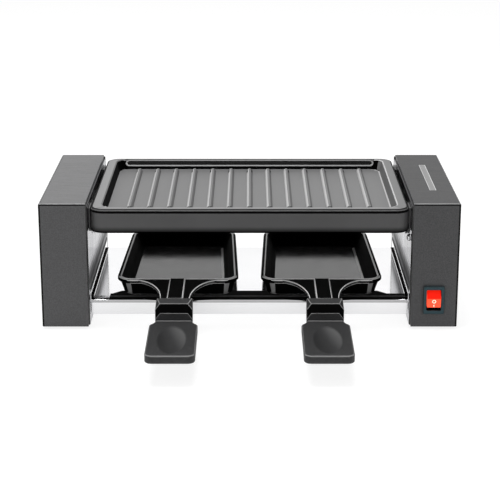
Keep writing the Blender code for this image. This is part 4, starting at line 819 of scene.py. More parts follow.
def build_grill_plate():
    """The casting: skirt, rolled rim, flat apron, stepped recess and ribs."""
    size = shape_settings()
    low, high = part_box("grill_plate")
    rim, corner = size.plate_rim, size.plate_corner
    side, front, back = rim + 6.4 * MM, rim + 5.0 * MM, rim + 1.7 * MM
    slope, ramp = 2.5 * MM, 9.2 * MM
    top, floor = high.z, high.z - size.recess_depth
    bm = bmesh.new()

    def ring(side_in, front_in, back_in, radius, z):
        near, far = low.y + front_in, high.y - back_in
        left, right = low.x + side_in, high.x - side_in
        corners = [(left, near, z), (right, near, z), (right, far, z), (left, far, z)]
        return rounded_face(bm, corners, radius, 10)

    def even(inset, z):
        return ring(inset, inset, inset, corner - inset, z)

    # The hollow underside and the skirt.
    wall, hollow = 3.0 * MM, 5.8 * MM
    under = floor - 2.5 * MM
    rings = [even(hollow, under), even(hollow, under + wall), even(wall, under + wall), even(wall, low.z)]
    rings += [even(0.3 * MM, low.z), even(0.0, low.z + 0.4 * MM), even(0.0, low.z + 1.1 * MM)]
    rings += [even(0.0, low.z + rise * MM) for rise in (1.9, 2.7, 3.6, 4.6)] + [even(0.0, top - 3.1 * MM)]
    # The rolled rim between its two grooves: inset, and height from the top.
    bead = (
        (0.45, -2.7), (0.75, -2.35), (0.45, -2.0), (0.2, -1.7), (0.2, -1.35), (0.45, -1.05),
        (0.8, -0.85), (0.55, -0.65), (0.5, -0.5), (0.7, -0.25), (1.1, -0.06), (1.6, 0.0),
    )
    rings += [even(inset * MM, top + drop * MM) for inset, drop in bead]
    # The recess's upper edge, its walls and its foot.
    rings += [
        ring(side - 0.8 * MM, front - 0.8 * MM, back - 0.8 * MM, 9.3 * MM, top),
        ring(side - 0.3 * MM, front - 0.2 * MM, back - 0.2 * MM, 8.8 * MM, top - 0.12 * MM),
        ring(side + 0.1 * MM, front + 0.2 * MM, back + 0.3 * MM, 8.4 * MM, top - 0.5 * MM),
    ]
    for share in (0.12, 0.5, 0.95):
        run, radius = slope * share, (8.3 - 2.0 * share) * MM
        z = top - size.recess_depth * share
        rings.append(ring(side + run, front + run, back + ramp * share, radius, z))
    foot_side, foot_front, foot_back = side + slope, front + slope, back + ramp
    rings += [
        ring(foot_side + 0.2 * MM, foot_front + 0.2 * MM, foot_back + 0.3 * MM, 6.0 * MM, floor + 0.08 * MM),
        ring(foot_side + 1.2 * MM, foot_front + 1.2 * MM, foot_back + 0.9 * MM, 5.4 * MM, floor),
    ]
    skin(bm, rings)
    start = low.y + front + 16.5 * MM
    end = high.y - back - ramp - 0.4 * MM
    pitch = size.rib_pitch
    count = round((high.x - low.x - 2 * side - 2 * slope) / pitch) - 1
    for index in range(count):
        add_rib(bm, (index - (count - 1) / 2) * pitch, start, end, floor, size.rib_height)

    def rim_painted_light(place):
        """Painted light on the skirt, the rolled rim and the apron, by their height: painted shade on the
        skirt, deepest at its foot, painted dark lines below the apron's edge and in the grooves, and the
        apron's front and left painted a little lighter.
        """
        if place.z < top - 3.4 * MM:
            return -0.38 - 0.6 * max(1.0 - (place.z - low.z) / (4.6 * MM), 0.0)
        if place.z > top - 0.02 * MM:
            return 0.1 if place.y < low.y + front or place.x < side - high.x else 0.0
        below = top - place.z
        if below < 0.5 * MM:
            return -0.75
        return -0.05 if below < 1.4 * MM else -0.95

    def rib_painted_light(place, normal):
        """Painted light on a rib: painted shade at its ends and on its right flank, and a painted highlight
        on its left flank and top.
        """
        if place.y > end - 14.0 * MM and normal.x * place.x > 0.6 * abs(place.x):
            return -1.0
        if place.y < start + 2.6 * MM:
            return -0.95
        if abs(normal.y) < 0.45:
            return 0.42 if normal.x < 0.2 else -0.3
        return -0.95 if normal.y < 0 else 0.1

    def tone(face):
        # Painted light in the recess: painted highlights and dark lines along its upper edge and a highlight
        # along the right wall's foot; the left, front and back walls painted black as shade, the right wall a
        # little dark; a painted black line at the skirt's foot.
        place, normal = face.calc_center_median(), face.normal
        inside = abs(place.x) < high.x - side + 0.7 * MM
        inside = inside and low.y + front - 0.9 * MM < place.y < high.y - back + 0.7 * MM
        if place.z < low.z + 1.0 * MM and normal.z > -0.9:
            return -1.0
        if not inside:
            return rim_painted_light(place)
        if place.z > top - 0.62 * MM and normal.z > 0.2 and place.y < high.y - back - 0.6 * MM:
            if normal.y > 0.15:
                return 0.85 if abs(normal.x) > 0.08 else -0.6
            return 0.45 if normal.x < -0.15 else -0.15
        if floor + 0.01 * MM < place.z < floor + 0.06 * MM and normal.x < -0.05:
            return 0.4
        if normal.z > 0.93:
            return 0.0
        across = place.x - round(place.x / pitch) * pitch
        on_rib = abs(across) < 2.3 * MM and abs(place.x) < count / 2 * pitch
        if on_rib and place.z < floor + size.rib_height + 0.1 * MM and place.y < end:
            return rib_painted_light(place, normal)
        if normal.x < -0.5 and place.z > floor + 0.04 * MM:
            return -0.25
        if place.z > floor + 0.2 * MM:
            return -1.0
        return 0.15 if normal.x < -0.05 else 0.0

    piece(bm, "grill_plate_casting", finish("plate_coating"), "plate", "grill_plate", tone=tone)
    add_drain_slot(high.x - side - 6.6 * MM, high.y - back, top, ramp, size.recess_depth)


def add_drain_slot(half, wall, top, ramp, depth):
    """A raised outline with round ends along the recess's sloping back wall."""
    rise = math.atan2(ramp, depth)
    length = math.hypot(ramp, depth)
    tall, proud, line = 0.62 * length, 0.6 * MM, 1.35 * MM
    slot = bmesh.new()
    low, high = -0.08 * length - tall, -0.08 * length
    outline = [(-half, 0.0, low), (half, 0.0, low), (half, 0.0, high), (-half, 0.0, high)]
    face = rounded_face(slot, outline, tall / 2 - 0.01 * MM, 10)
    pull_faces(slot, [face], (0.0, -proud, 0.0))
    front = [item for item in slot.faces if all(vert.co.y < -0.9 * proud for vert in item.verts)]
    for width in (line, 0.15 * MM):
        bmesh.ops.inset_region(slot, faces=front, thickness=width, use_even_offset=True)
    bmesh.ops.translate(slot, verts=verts_of(front), vec=(0.0, proud * 0.8, 0.0))
    bmesh.ops.translate(slot, verts=slot.verts, vec=(0.0, 0.1 * MM, 0.0))
    place = Vector((0.0, wall, top))
    turn_and_move(slot, Matrix.Rotation(-rise, 3, "X"), place)
    lean = Matrix.Rotation(rise, 3, "X")

    def tone(face):
        # Painted shade: the outline's sides and sunken middle are painted dark, its upper face a little
        # darker than its lower face.
        local = lean @ (face.calc_center_median() - place)
        if (lean @ face.normal).y > -0.9:
            return -1.0
        if local.y > -0.5 * proud:
            return -0.78
        return -0.1 if local.z > (low + high) / 2 else 0.05

    piece(slot, "plate_back_channel", finish("plate_coating"), "plate", tone=tone)


def add_rib(bm, middle, start, end, floor, height):
    """A half-round rib: blunt in front, drawn to a point at the back."""
    half, sink = 2.25 * MM, 0.3 * MM
    # Place along the rib, share of its width, share of its height.
    sections = (
        (start, 0.4, 0.25), (start + 0.5 * MM, 0.8, 0.7), (start + 1.3 * MM, 1.0, 0.95),
        (start + 2.5 * MM, 1.0, 1.0), (end - 13.0 * MM, 1.0, 1.0), (end - 5.0 * MM, 1.0, 1.0),
        (end - 2.0 * MM, 0.7, 0.9), (end, 0.25, 0.6),
    )
    arc = [math.radians(angle) for angle in (0, 25, 50, 72, 90, 108, 130, 155, 180)]
    faces = []
    for y, wide, tall in sections:
        rise = height * tall
        points = [(middle + half * wide, y, floor - sink)]
        points += [(middle + half * wide * math.cos(turn), y, floor + rise * math.sin(turn)) for turn in arc]
        points += [(middle - half * wide, y, floor - sink)]
        faces.append(bm.faces.new([bm.verts.new(point) for point in points]))
    skin(bm, faces, (0.0, 1.0, 0.0))


# Pans


def build_pan(name):
    """A pressed pan with a flat rim, a deep bowl and a forked tang for its handle."""
    size = shape_settings()
    low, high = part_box(f"pan_{name}")
    middle = (low.x + high.x) / 2
    front_half = (high.x - low.x) / 2
    back_half = front_half - 3.6 * MM
    lean_out = 3.0 * MM
    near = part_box("base_plate")[0].y + 2.0 * MM
    far, top, bottom = high.y, high.z, low.z
    bm = bmesh.new()
    rings = []

    def ring(inset, z):
        lean = lean_out * min(max((z - bottom) / (top - 3.0 * MM - bottom), 0.0), 1.0)
        front_y, back_y = near + inset - lean, far - inset
        share = (back_half - front_half) / (far - near)
        front = front_half + share * inset - inset
        back = back_half - share * inset - inset
        corners = [
            (middle - front, front_y, z), (middle + front, front_y, z),
            (middle + back, back_y, z), (middle - back, back_y, z),
        ]
        return rounded_face(bm, corners, max(size.pan_corner - inset, size.pan_rim), 8)

    def add_turn(inset, level, radius, start, step, count):
        """Rings round part of a circle: the bowl's rounded foot, outside or inside."""
        for index in range(count):
            angle = math.radians(start + step * index)
            rings.append(ring(inset + radius * math.cos(angle), level + radius * math.sin(angle)))

    rim, floor, shelf = size.pan_rim, bottom + 3.2 * MM, top - 0.45 * MM
    add_turn(8.0 * MM, bottom + 4.0 * MM, 4.0 * MM, 270, -22.5, 5)
    rings += [ring(1.8 * MM, top - 3.3 * MM), ring(0.5 * MM, top - 3.3 * MM), ring(0.0, top - 2.7 * MM)]
    rings += [ring(0.0, shelf - 0.75 * MM), ring(0.25 * MM, shelf - 0.25 * MM), ring(0.8 * MM, shelf)]
    rings += [ring(rim - 1.15 * MM, shelf), ring(rim - 0.95 * MM, top - 0.1 * MM), ring(rim - 0.65 * MM, top)]
    rings += [ring(rim - 0.2 * MM, top - 0.2 * MM), ring(rim + 0.1 * MM, top - 0.6 * MM)]
    add_turn(11.7 * MM, floor + 5.4 * MM, 5.4 * MM, 180, 18, 6)
    skin(bm, rings)
    near -= lean_out
    add_tang(bm, name, middle, near, shelf)
    taper = (back_half - front_half) / (far - near)

    def tone(face):
        # Painted light on the pan: painted highlights along the rim's and tang's edges, the floor's right
        # foot, the bowl's lower front edge and its front corners; all else, walls and tang top too, painted
        # black as shade.
        place, normal = face.calc_center_median(), face.normal
        if place.y < near - 0.4 * MM or place.z > top + 0.05 * MM:
            edge = painted_edge_line(face) * (1.0 if place.z > shelf - 1.2 * MM else 0.5)
            return edge if edge > 0.0 else -0.97
        if place.z < floor + 0.4 * MM and normal.z > 0.9:
            return 0.8 if normal.x < -0.02 and abs(normal.y) < 0.03 else 0.04
        flank = front_half + taper * (place.y - near) - abs(place.x - middle)
        depth = min(flank, place.y - near, far - place.y)
        front = place.y < near + 8.0 * MM and normal.y < 0.3
        if depth > rim - 1.2 * MM and place.z > top - 0.65 * MM:
            return 1.0 if front or place.x > middle else 0.25
        if depth < 0.9 * MM and shelf - 0.8 * MM < place.z:
            return 1.0 if front else -0.8
        if front and top - 3.4 * MM < place.z < top - 2.6 * MM and depth < 0.6 * MM:
            return 0.55
        below = place.y < near + 14.0 * MM and normal.y < 0.3 and normal.z < 0.1
        if below and bottom + 0.3 * MM < place.z < bottom + 1.6 * MM:
            return 0.8
        if below and 0.2 < abs(normal.x) < 0.5 and place.z < top - 3.3 * MM:
            return 0.3
        return -0.97

    piece(bm, f"pan_bowl_{name}", finish("pan_coating"), f"{name}_pan", f"pan_{name}", tone=tone)


def add_tang(bm, name, middle, near, top):
    """The tang: wide at the rim, drawn in by two hollow curves, with a raised channel."""
    neck, flare, thick = 10.3 * MM, 21.0 * MM, 2.6 * MM
    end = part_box(f"handle_{name}")[1].y + 0.3 * MM
    reach = near - end
    level = top - 0.02 * MM
    root = near + 2.0 * MM
    tang = bmesh.new()
    curve = tang.verts.new((neck + flare, near + 0.5 * MM, level))
    centre = Vector((neck + flare, near + 0.5 * MM - flare, level))
    swept = bmesh.ops.spin(
        tang, geom=[curve], cent=centre, axis=(0.0, 0.0, 1.0), angle=math.pi / 2, steps=20
    )["geom_last"]
    bmesh.ops.scale(
        tang, verts=tang.verts, vec=(1.0, reach / flare, 1.0),
        space=Matrix.Translation((0.0, -curve.co.y, 0.0)),
    )
    ends = [tang.verts.new((0.0, end, level)), tang.verts.new((neck, end, level)), verts_in(swept)[0]]
    starts = [curve, tang.verts.new((neck + flare, root, level)), tang.verts.new((0.0, root, level))]
    for chain in (ends, starts):
        for pair in zip(chain, chain[1:]):
            tang.edges.new(pair)
    bmesh.ops.mirror(tang, geom=tang.verts[:] + tang.edges[:], axis="X", merge_dist=NEAR)
    bmesh.ops.remove_doubles(tang, verts=tang.verts, dist=NEAR)
    bmesh.ops.contextual_create(tang, geom=tang.edges[:])
    pull_faces(tang, tang.faces[:], (0.0, 0.0, -thick))
    round_sharp(tang, 0.5 * MM, 3, 40.0)
    half, rise, back = 5.9 * MM, 0.8 * MM, near + 1.5 * MM
    outline = (
        (-half, -rise), (half, -rise), (half, 0.0), (half - rise, rise), (rise - half, rise), (-half, 0.0),
    )
    channel = bmesh.new()
    prism(channel, [(x, back, level + z) for x, z in outline], (0.0, end - near - 1.5 * MM, 0.0))
    round_sharp(channel, 0.18 * MM, 2, 25.0)
    tongue = bmesh.new()
    block(tongue, (-7.0 * MM, end - 10.3 * MM, level - 2.0 * MM), (7.0 * MM, end + MM, level - 0.6 * MM))
    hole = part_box(f"handle_screw_{name}")
    hole_y = (hole[0].y + hole[1].y) / 2
    drill = bmesh.new()
    rod(drill, 1.6 * MM, (0.0, hole_y, level - 4 * MM), (0.0, hole_y, level + MM))
    tongue = carve(tongue, drill)
    for part in (tang, channel, tongue):
        join(bm, part, (middle, 0.0, 0.0))


def join(bm, part, place=(0.0, 0.0, 0.0)):
    """Add a finished part to a mesh, moved to its place."""
    bmesh.ops.translate(part, verts=part.verts, vec=place)
    mesh = bpy.data.meshes.new("part")
    part.to_mesh(mesh)
    part.free()
    bm.from_mesh(mesh)
    bpy.data.meshes.remove(mesh)


# Handles


def build_handle(name):
    """A moulded grip: a neck with two steps down to a thumb paddle."""
    low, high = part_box(f"handle_{name}")
    middle, wide = (low.x + high.x) / 2, (high.x - low.x) / 2
    shoulder = 13.05 * MM
    top = high.z
    step = top - 6.8 * MM
    paddle = step - 5.7 * MM
    neck_y, paddle_y = high.y - 12.4 * MM, high.y - 13.3 * MM
    root_low = paddle - 5.8 * MM
    neck_low = top - 13.0 * MM
    waist_low = (neck_low + 2 * root_low) / 3

    def section(bm, y, half, level, bottom, share=1.0):
        slant, drop, edge = 3.4 * MM * share, 4.6 * MM * share, 0.8 * MM
        points = [
            (-half, bottom + edge), (-half, level - drop), (slant - half, level),
            (half - slant, level), (half, level - drop), (half, bottom + edge),
            (half - edge, bottom), (edge - half, bottom),
        ]
        return bm.faces.new([bm.verts.new((middle + x, y, z)) for x, z in points])

    bm = bmesh.new()
    ends = [
        section(bm, high.y, shoulder - 0.3 * MM, top, neck_low, 0.2),
        section(bm, neck_y, shoulder, top, waist_low),
    ]
    skin(bm, ends, (0.0, -1.0, 0.0))
    round_sharp(bm, 0.5 * MM, 3, 24.0)
    socket = bmesh.new()
    tongue_z = top - 1.4 * MM
    block(
        socket, (middle - 7.3 * MM, high.y - 10.6 * MM, tongue_z - 2.1 * MM),
        (middle + 7.3 * MM, high.y + MM, tongue_z + 0.1 * MM),
    )
    bm = carve(bm, socket)
    screw_low, screw_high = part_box(f"handle_screw_{name}")
    screw = (screw_low + screw_high) / 2
    drill = bmesh.new()
    rod(drill, 2.9 * MM, (middle, screw.y, root_low - MM), (middle, screw.y, screw_low.z + 1.8 * MM))
    bm = carve(bm, drill)
    landing = bmesh.new()
    ends = [
        section(landing, neck_y + 2.0 * MM, shoulder - 0.4 * MM, step, waist_low + 0.6 * MM),
        section(landing, paddle_y, shoulder, step, root_low),
    ]
    skin(landing, ends, (0.0, -1.0, 0.0))
    round_sharp(landing, 0.45 * MM, 3, 24.0)
    join(bm, landing)
    join(bm, build_paddle(middle, wide, low.y, paddle_y, paddle, shoulder))
    lip = bmesh.new()
    end_x, foot_z = middle - shoulder + MM, paddle - 0.3 * MM
    back, fore = paddle_y + 0.2 * MM, paddle_y - 0.75 * MM
    corner = [(end_x, back, foot_z), (end_x, fore, foot_z), (end_x, back, paddle + 0.75 * MM)]
    prism(lip, corner, (2 * (shoulder - MM), 0.0, 0.0))
    round_sharp(lip, 0.12 * MM, 2)
    join(bm, lip)
    dish_middle = low.y + (paddle_y - 7.0 * MM - low.y) / 2

    def tone(face):
        # Painted light on the grip: risers painted black as shade, painted highlights on the paddle's lip and
        # front edge, painted shade on the steps' sides, and the dish painted lighter on its slope towards the
        # light and darker on the other.
        place, normal = face.calc_center_median(), face.normal
        if place.y > paddle_y - 0.7 * MM and normal.y < -0.92 and place.z > paddle:
            return -0.88
        if place.y > neck_y and normal.z > 0.985:
            return -0.1
        on_lip = place.y < paddle_y + 0.1 * MM and place.z < paddle + 0.8 * MM
        if on_lip and normal.y < -0.3 and normal.z > 0.3:
            return 0.9
        if place.y < paddle_y - 3.0 * MM:
            across = (place.x - middle) / (10.1 * MM)
            along = (place.y - dish_middle) / (26.2 * MM)
            reach = across * across + along * along
            if reach < 1.0 and normal.z > 0.5:
                lit = min(max(-0.9 * normal.x - 1.4 * normal.y - 0.08, -0.3), 0.42)
                return lit * min((1.0 - reach) * 4.0, 1.0)
            return painted_edge_line(face) * (0.65 if abs(normal.x) < 0.35 else 0.08)
        if place.y > paddle_y and paddle < place.z < top - 0.5 * MM and abs(normal.z) < 0.75:
            return painted_edge_line(face) or -0.35
        return painted_edge_line(face)

    piece(
        bm, f"grip_{name}", finish("handle_plastic"), f"{name}_pan", f"handle_{name}",
        angle=40.0, tone=tone,
    )


def build_paddle(middle, wide, tip, start, level, shoulder):
    """The thumb paddle, with rounded corners, a soft edge and an oval dish."""
    thick, drop = 5.8 * MM, 1.2 * MM
    broad = start - 7.0 * MM
    bm = bmesh.new()
    half = [(shoulder, start + 4.0 * MM), (shoulder, start), (shoulder + 0.8 * MM, start - 3.5 * MM)]
    half += [(wide, broad), (wide, tip)]
    outline = [(middle + x, y, level) for x, y in half]
    outline += [(middle - x, y, level) for x, y in reversed(half)]
    prism(bm, outline, (0.0, 0.0, -thick))
    front = edges_on(bm, {1: tip})
    tips = [edge for edge in front if edge.verts[0].co.x == edge.verts[1].co.x]
    round_edges(bm, tips, 5.2 * MM, 10)
    upright = edges_along(bm, 2, thick / 2)
    turns = [edge for edge in upright if start - 7.5 * MM < edge.verts[0].co.y < start - 3.0 * MM]
    round_edges(bm, turns, 1.6 * MM, 4)
    run = broad - tip
    for vert in bm.verts:
        share = (broad - vert.co.y) / run
        vert.co.z -= drop * min(max(share, 0.0), 1.0)
    round_sharp(bm, 0.8 * MM, 4, 50.0)
    dish = bmesh.new()
    radius, length, depth = 10.0 * MM, 26.0 * MM, 2.0 * MM
    ball = (radius ** 2 + depth ** 2) / (2 * depth)
    bmesh.ops.create_uvsphere(dish, u_segments=128, v_segments=96, radius=ball)
    bmesh.ops.scale(dish, verts=dish.verts, vec=(1.0, length / radius, 1.0))
    lean = Matrix.Rotation(math.atan2(drop, run), 3, "X")
    rise = ball - depth - drop / 2
    turn_and_move(dish, lean, (middle, tip + run / 2, level + rise))
    return carve(bm, dish)


# Switch


def build_switch():
    """The switch's frame and body with its pocket, and the two-faced rocker with its marks."""
    low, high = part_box("switch_housing")
    middle = (low + high) / 2
    back = low.y + 1.5 * MM
    bm = bmesh.new()
    block(bm, low, (high.x, back, high.z))
    round_edges(bm, edges_along(bm, 1, MM), 1.0 * MM, 5)
    round_edges(bm, edges_on(bm, {1: low.y}), 0.45 * MM, 4)
    half_x, half_z = 6.5 * MM, 9.5 * MM
    block(
        bm, (middle.x - half_x, back - 0.2 * MM, middle.z - half_z),
        (middle.x + half_x, high.y, middle.z + half_z),
    )
    pocket = bmesh.new()
    half_x, half_z = 5.35 * MM, 7.85 * MM
    rocker_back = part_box("switch_rocker")[1].y
    block(
        pocket, (middle.x - half_x, low.y - MM, middle.z - half_z),
        (middle.x + half_x, rocker_back + 2 * MM, middle.z + half_z),
    )
    round_edges(pocket, edges_along(pocket, 1, MM), 0.8 * MM, 4)
    bm = carve(bm, pocket)
    piece(bm, "switch_frame", finish("switch_plastic"), "body", "switch_housing")
    build_rocker()


def build_rocker():
    """The rocker, tilted on its hinge, with a ring and a bar on its lower face."""
    hinge = Vector(frame_joint("rocker_hinge")["pos_m"])
    tilt = Matrix.Rotation(math.radians(-12.0), 3, "X")
    half, ridge_y = 4.95 * MM, -7.0
    lower_end = (-4.6, -6.4)
    outline = [(-4.6, 6.4), (ridge_y, 0.0), lower_end, (2.2, -3.0), (2.2, 3.0)]
    bm = bmesh.new()
    prism(bm, [(-half, y * MM, z * MM) for y, z in outline], (2 * half, 0.0, 0.0))
    round_sharp(bm, 0.45 * MM, 4, 15.0)
    rod(bm, 1.0 * MM, (-half - 0.8 * MM, 0.0, 0.0), (half + 0.8 * MM, 0.0, 0.0))
    turn_and_move(bm, tilt, hinge)
    ridge, end = Vector((0.0, ridge_y, 0.0)) * MM, Vector((0.0, *lower_end)) * MM
    # Painted sheen: the faces below the ridge are painted brighter.
    painted_sheen_below = (tilt @ ridge + hinge).z + 0.1 * MM
    piece(
        bm, "rocker", finish("rocker_red"), "rocker", "switch_rocker",
        tone=lambda face: 1.0 if face.calc_center_median().z < painted_sheen_below else 0.0,
    )
    # Both marks are made flat at the origin and laid on the lower face, a distance below the ridge.
    lean = Vector((0.0, 0.0, 1.0)).rotation_difference(ridge - end).to_matrix()
    way = (end - ridge).normalized()
    ring = bmesh.new()
    inner, outer, thick = 0.85, 1.45, 0.08
    profile = [(inner, 0.0), (outer, 0.0), (outer, thick), (inner, thick), (inner, 0.0)]
    lathe(ring, in_mm(profile), (0.0, 0.0, 0.0), (0.0, -1.0, 0.0), 40)
    turn_and_move(ring, lean, ridge + way * (1.9 * MM))
    bar = bmesh.new()
    block(bar, (-0.3 * MM, -thick * MM, -0.85 * MM), (0.3 * MM, 0.0, 0.85 * MM))
    turn_and_move(bar, lean, ridge + way * (5.35 * MM))
    join(ring, bar)
    turn_and_move(ring, tilt, hinge)
    piece(ring, "rocker_marks", finish("marking"), "rocker", weighted=False)


def frame_joint(name):
    """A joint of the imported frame, by its name."""
    return next(joint for joint in frame["joints"] if joint["name"] == name)


# Screws, feet and gland


def build_screw(node, body, axis, head, shank, rise):
    """A domed screw with a cross recess: axis runs from tip to head; head and shank are radii."""
    low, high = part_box(node)
    middle = (low + high) / 2
    axis = Vector(axis)
    reach = Vector((abs(axis.x), abs(axis.y), abs(axis.z))).dot(high - low) / 2
    top = middle + axis * reach
    seat, tip = -rise, -2 * reach
    profile = [(0.0, 0.0), (head * 0.45, -rise * 0.06), (head * 0.8, -rise * 0.28), (head, -rise * 0.75)]
    profile += [(head, seat), (shank, seat), (shank, 0.4 * MM + tip), (shank * 0.5, tip), (0.0, tip)]
    bm = bmesh.new()
    lathe(bm, profile, top, axis, 40)
    across = axis.orthogonal().normalized()
    turn = axis.cross(across)
    wide, long = head * 0.13, head * 0.58
    quarter = [(wide, wide), (wide, long), (-wide, long)]
    outline = []
    for step in range(4):
        lean = Matrix.Rotation(step * math.pi / 2, 2)
        for point in quarter:
            flat = lean @ Vector(point)
            outline.append(top + across * flat.x + turn * flat.y + axis * MM)
    cross = bmesh.new()
    prism(cross, outline, -axis * (MM + rise * 0.55))
    bm = carve(bm, cross)

    def tone(face):
        # Painted shade on the head's outer rim, painted highlight on the rest of the screw.
        arm = face.calc_center_median() - top
        return -0.85 if (arm - axis * arm.dot(axis)).length > 0.92 * head else 0.25

    piece(bm, f"{node}_head", finish("bright_steel"), body, node, tone=tone)


def build_small_parts():
    """The screws, the feet, the gland and the badge strip."""
    case_screw = (2.8 * MM, 1.5 * MM, 1.3 * MM)
    for _, name in SIDES:
        for level in ("lower", "upper"):
            build_screw(f"rear_screw_{level}_{name}", "body", (0.0, 1.0, 0.0), *case_screw)
        for end in ENDS:
            build_screw(f"casing_screw_{end}_{name}", "body", (0.0, 0.0, -1.0), *case_screw)
            build_foot(f"foot_{end}_{name}")
        build_screw(f"handle_screw_{name}", f"{name}_pan", (0.0, 0.0, -1.0), 2.6 * MM, 1.3 * MM, 1.5 * MM)
    build_screw("earth_screw", "body", (-1.0, 0.0, 0.0), 2.6 * MM, 1.6 * MM, 2.5 * MM)
    build_gland()
    build_badge()


def build_foot(node):
    """A rubber foot with a barbed stem."""
    low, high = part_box(node)
    middle = (low + high) / 2
    height = (high.z - low.z) / MM
    profile = [(0.0, 0.35), (4.2, 0.35), (4.6, 0.0), (5.3, 0.0), (5.85, 0.2), (6.0, 0.7), (6.0, 1.7)]
    profile += [(2.2, 1.7), (2.2, height - 1.2), (3.0, height - 1.2), (2.2, height), (0.0, height)]
    bm = bmesh.new()
    lathe(bm, in_mm(profile), (middle.x, middle.y, low.z), (0.0, 0.0, 1.0), 48)
    piece(bm, f"{node}_pad", finish("foot_rubber"), "body", node)


def build_gland():
    """The bush through which the supply cord would enter."""
    low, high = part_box("cord_gland")
    middle = (low + high) / 2
    tail = (high.y - low.y) / MM
    profile = [(3.6, 0.3), (3.9, 0.0), (6.5, 0.0), (6.8, 0.3), (6.8, 1.7), (6.5, 2.0), (4.6, 2.0)]
    profile += [(4.6, tail - 2.0), (6.6, tail - 2.0), (6.8, tail - 1.7), (6.6, tail - 1.1)]
    profile += [(5.9, tail - 0.3), (5.2, tail), (4.1, tail), (3.6, tail - 0.5), (3.6, 0.3)]
    bm = bmesh.new()
    lathe(bm, in_mm(profile), (middle.x, low.y, middle.z), (0.0, 1.0, 0.0), 64)
    piece(bm, "cord_bush", finish("switch_plastic"), "body", "cord_gland")


def build_badge():
    """A plain metal strip with a raised border."""
    low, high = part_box("badge_strip")
    bm = bmesh.new()
    block(bm, low, high)
    top = [face for face in bm.faces if face.normal.z > 0.9]
    bmesh.ops.inset_region(bm, faces=top, thickness=0.45 * MM, use_even_offset=True)
    bmesh.ops.translate(bm, verts=verts_of(top), vec=(0.0, 0.0, -0.12 * MM))
    round_edges(bm, edges_on(bm, {2: high.z}), 0.06 * MM, 2)
    border = 0.5 * MM

    # Painted highlight on the raised border, painted shade in the sunken middle.
    def tone(face):
        middle = face.calc_center_median()
        inner = all(low[axis] + border < middle[axis] < high[axis] - border for axis in (0, 1))
        return -0.6 if inner else 0.8

    piece(bm, "badge_plain_strip", finish("badge_metal"), "body", "badge_strip", tone=tone)


# Heater


def build_heater():
    """The bent heating tube, swept along its runs and bends."""
    low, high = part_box("heater_tube")
    radius = (high.z - low.z) / 2
    z = (low.z + high.z) / 2
    rows = 4
    first, last = low.y + radius, high.y - radius
    pitch = (last - first) / (rows - 1)
    bend = pitch / 2
    far = -(low.x + radius) - bend
    bm = bmesh.new()
    start = Vector((high.x, first, z))
    place = Matrix.Translation(start) @ Matrix.Rotation(math.pi / 2, 4, "Y")
    bmesh.ops.create_circle(bm, cap_ends=False, segments=24, radius=radius, matrix=place)
    row = bm.edges[:]
    bmesh.ops.contextual_create(bm, geom=row)
    side = -1
    at = start.x
    for index in range(rows):
        goal = side * far if index < rows - 1 else start.x
        row = run_on(bm, row, Vector((goal - at, 0.0, 0.0)))
        at = goal
        if index < rows - 1:
            swept = bmesh.ops.spin(
                bm, geom=row + verts_of(row), cent=(goal, first + pitch * (index + 0.5), z),
                axis=(0.0, 0.0, 1.0), angle=math.pi * side, steps=20,
            )["geom_last"]
            row = [item for item in swept if isinstance(item, bmesh.types.BMEdge)]
            side = -side
    bmesh.ops.contextual_create(bm, geom=row)
    piece(bm, "heating_tube", finish("heater_steel"), "body", "heater_tube")


def run_on(bm, row, run):
    """Pull a ring of edges along a run and return the new ring."""
    made = pull_edges(bm, row, run)
    ends = set(verts_in(made))
    return [item for item in made if isinstance(item, bmesh.types.BMEdge) and set(item.verts) <= ends]


# Stage


def build_stage():
    """The camera, the surroundings, the table top and the lamps."""
    scene = bpy.context.scene
    scene.view_settings.view_transform = "Standard"
    camera = bpy.data.cameras.new("camera")
    camera.lens = CAMERA_LENS
    camera.sensor_width = 36.0
    camera.clip_start, camera.clip_end = 0.05, 50.0
    eye = bpy.data.objects.new("camera", camera)
    eye.location = CAMERA_PLACE
    eye.rotation_euler = (CAMERA_PITCH, 0.0, 0.0)
    scene.collection.objects.link(eye)
    scene.camera = eye
    build_world(scene)
    build_floor(scene)
    for lamp in LAMPS:
        add_lamp(scene, *lamp)


def build_world(scene):
    """White for the camera, gloss and glass; softer for the light it sheds."""
    world = bpy.data.worlds.new("surroundings")
    world.use_nodes = True
    tree = world.node_tree
    tree.nodes.clear()
    path, seen = seen_directly(tree)
    seen = either(tree, seen, path.outputs["Is Transmission Ray"])
    soft = add_node(tree, "ShaderNodeBackground", Color=WHITE, Strength=WORLD_LIGHT)
    white = add_node(tree, "ShaderNodeBackground", Strength=1.0)
    direction = tree.nodes.new("ShaderNodeTexCoord")
    split = tree.nodes.new("ShaderNodeSeparateXYZ")
    tree.links.new(direction.outputs["Generated"], split.inputs[0])
    height = tree.nodes.new("ShaderNodeValToRGB")
    shades = (WHITE, (CEILING, CEILING, CEILING, 1.0))
    for stop, position, colour in zip(height.color_ramp.elements, CEILING_HEIGHTS, shades):
        stop.position, stop.color = position, colour
    tree.links.new(split.outputs["Z"], height.inputs["Fac"])
    lit = add_node(tree, "ShaderNodeMixRGB", Fac=1.0)
    lit.blend_type = "LIGHTEN"
    tree.links.new(height.outputs["Color"], lit.inputs["Color1"])
    tree.links.new(path.outputs["Is Camera Ray"], lit.inputs["Color2"])
    tree.links.new(lit.outputs["Color"], white.inputs["Color"])
    mix_to_output(tree, seen, soft, white, "ShaderNodeOutputWorld")
    scene.world = world


def either(tree, first, second):
    """A socket that is 1 where either of two is."""
    node = tree.nodes.new("ShaderNodeMath")
    node.operation = "MAXIMUM"
    tree.links.new(first, node.inputs[0])
    tree.links.new(second, node.inputs[1])
    return node.outputs[0]


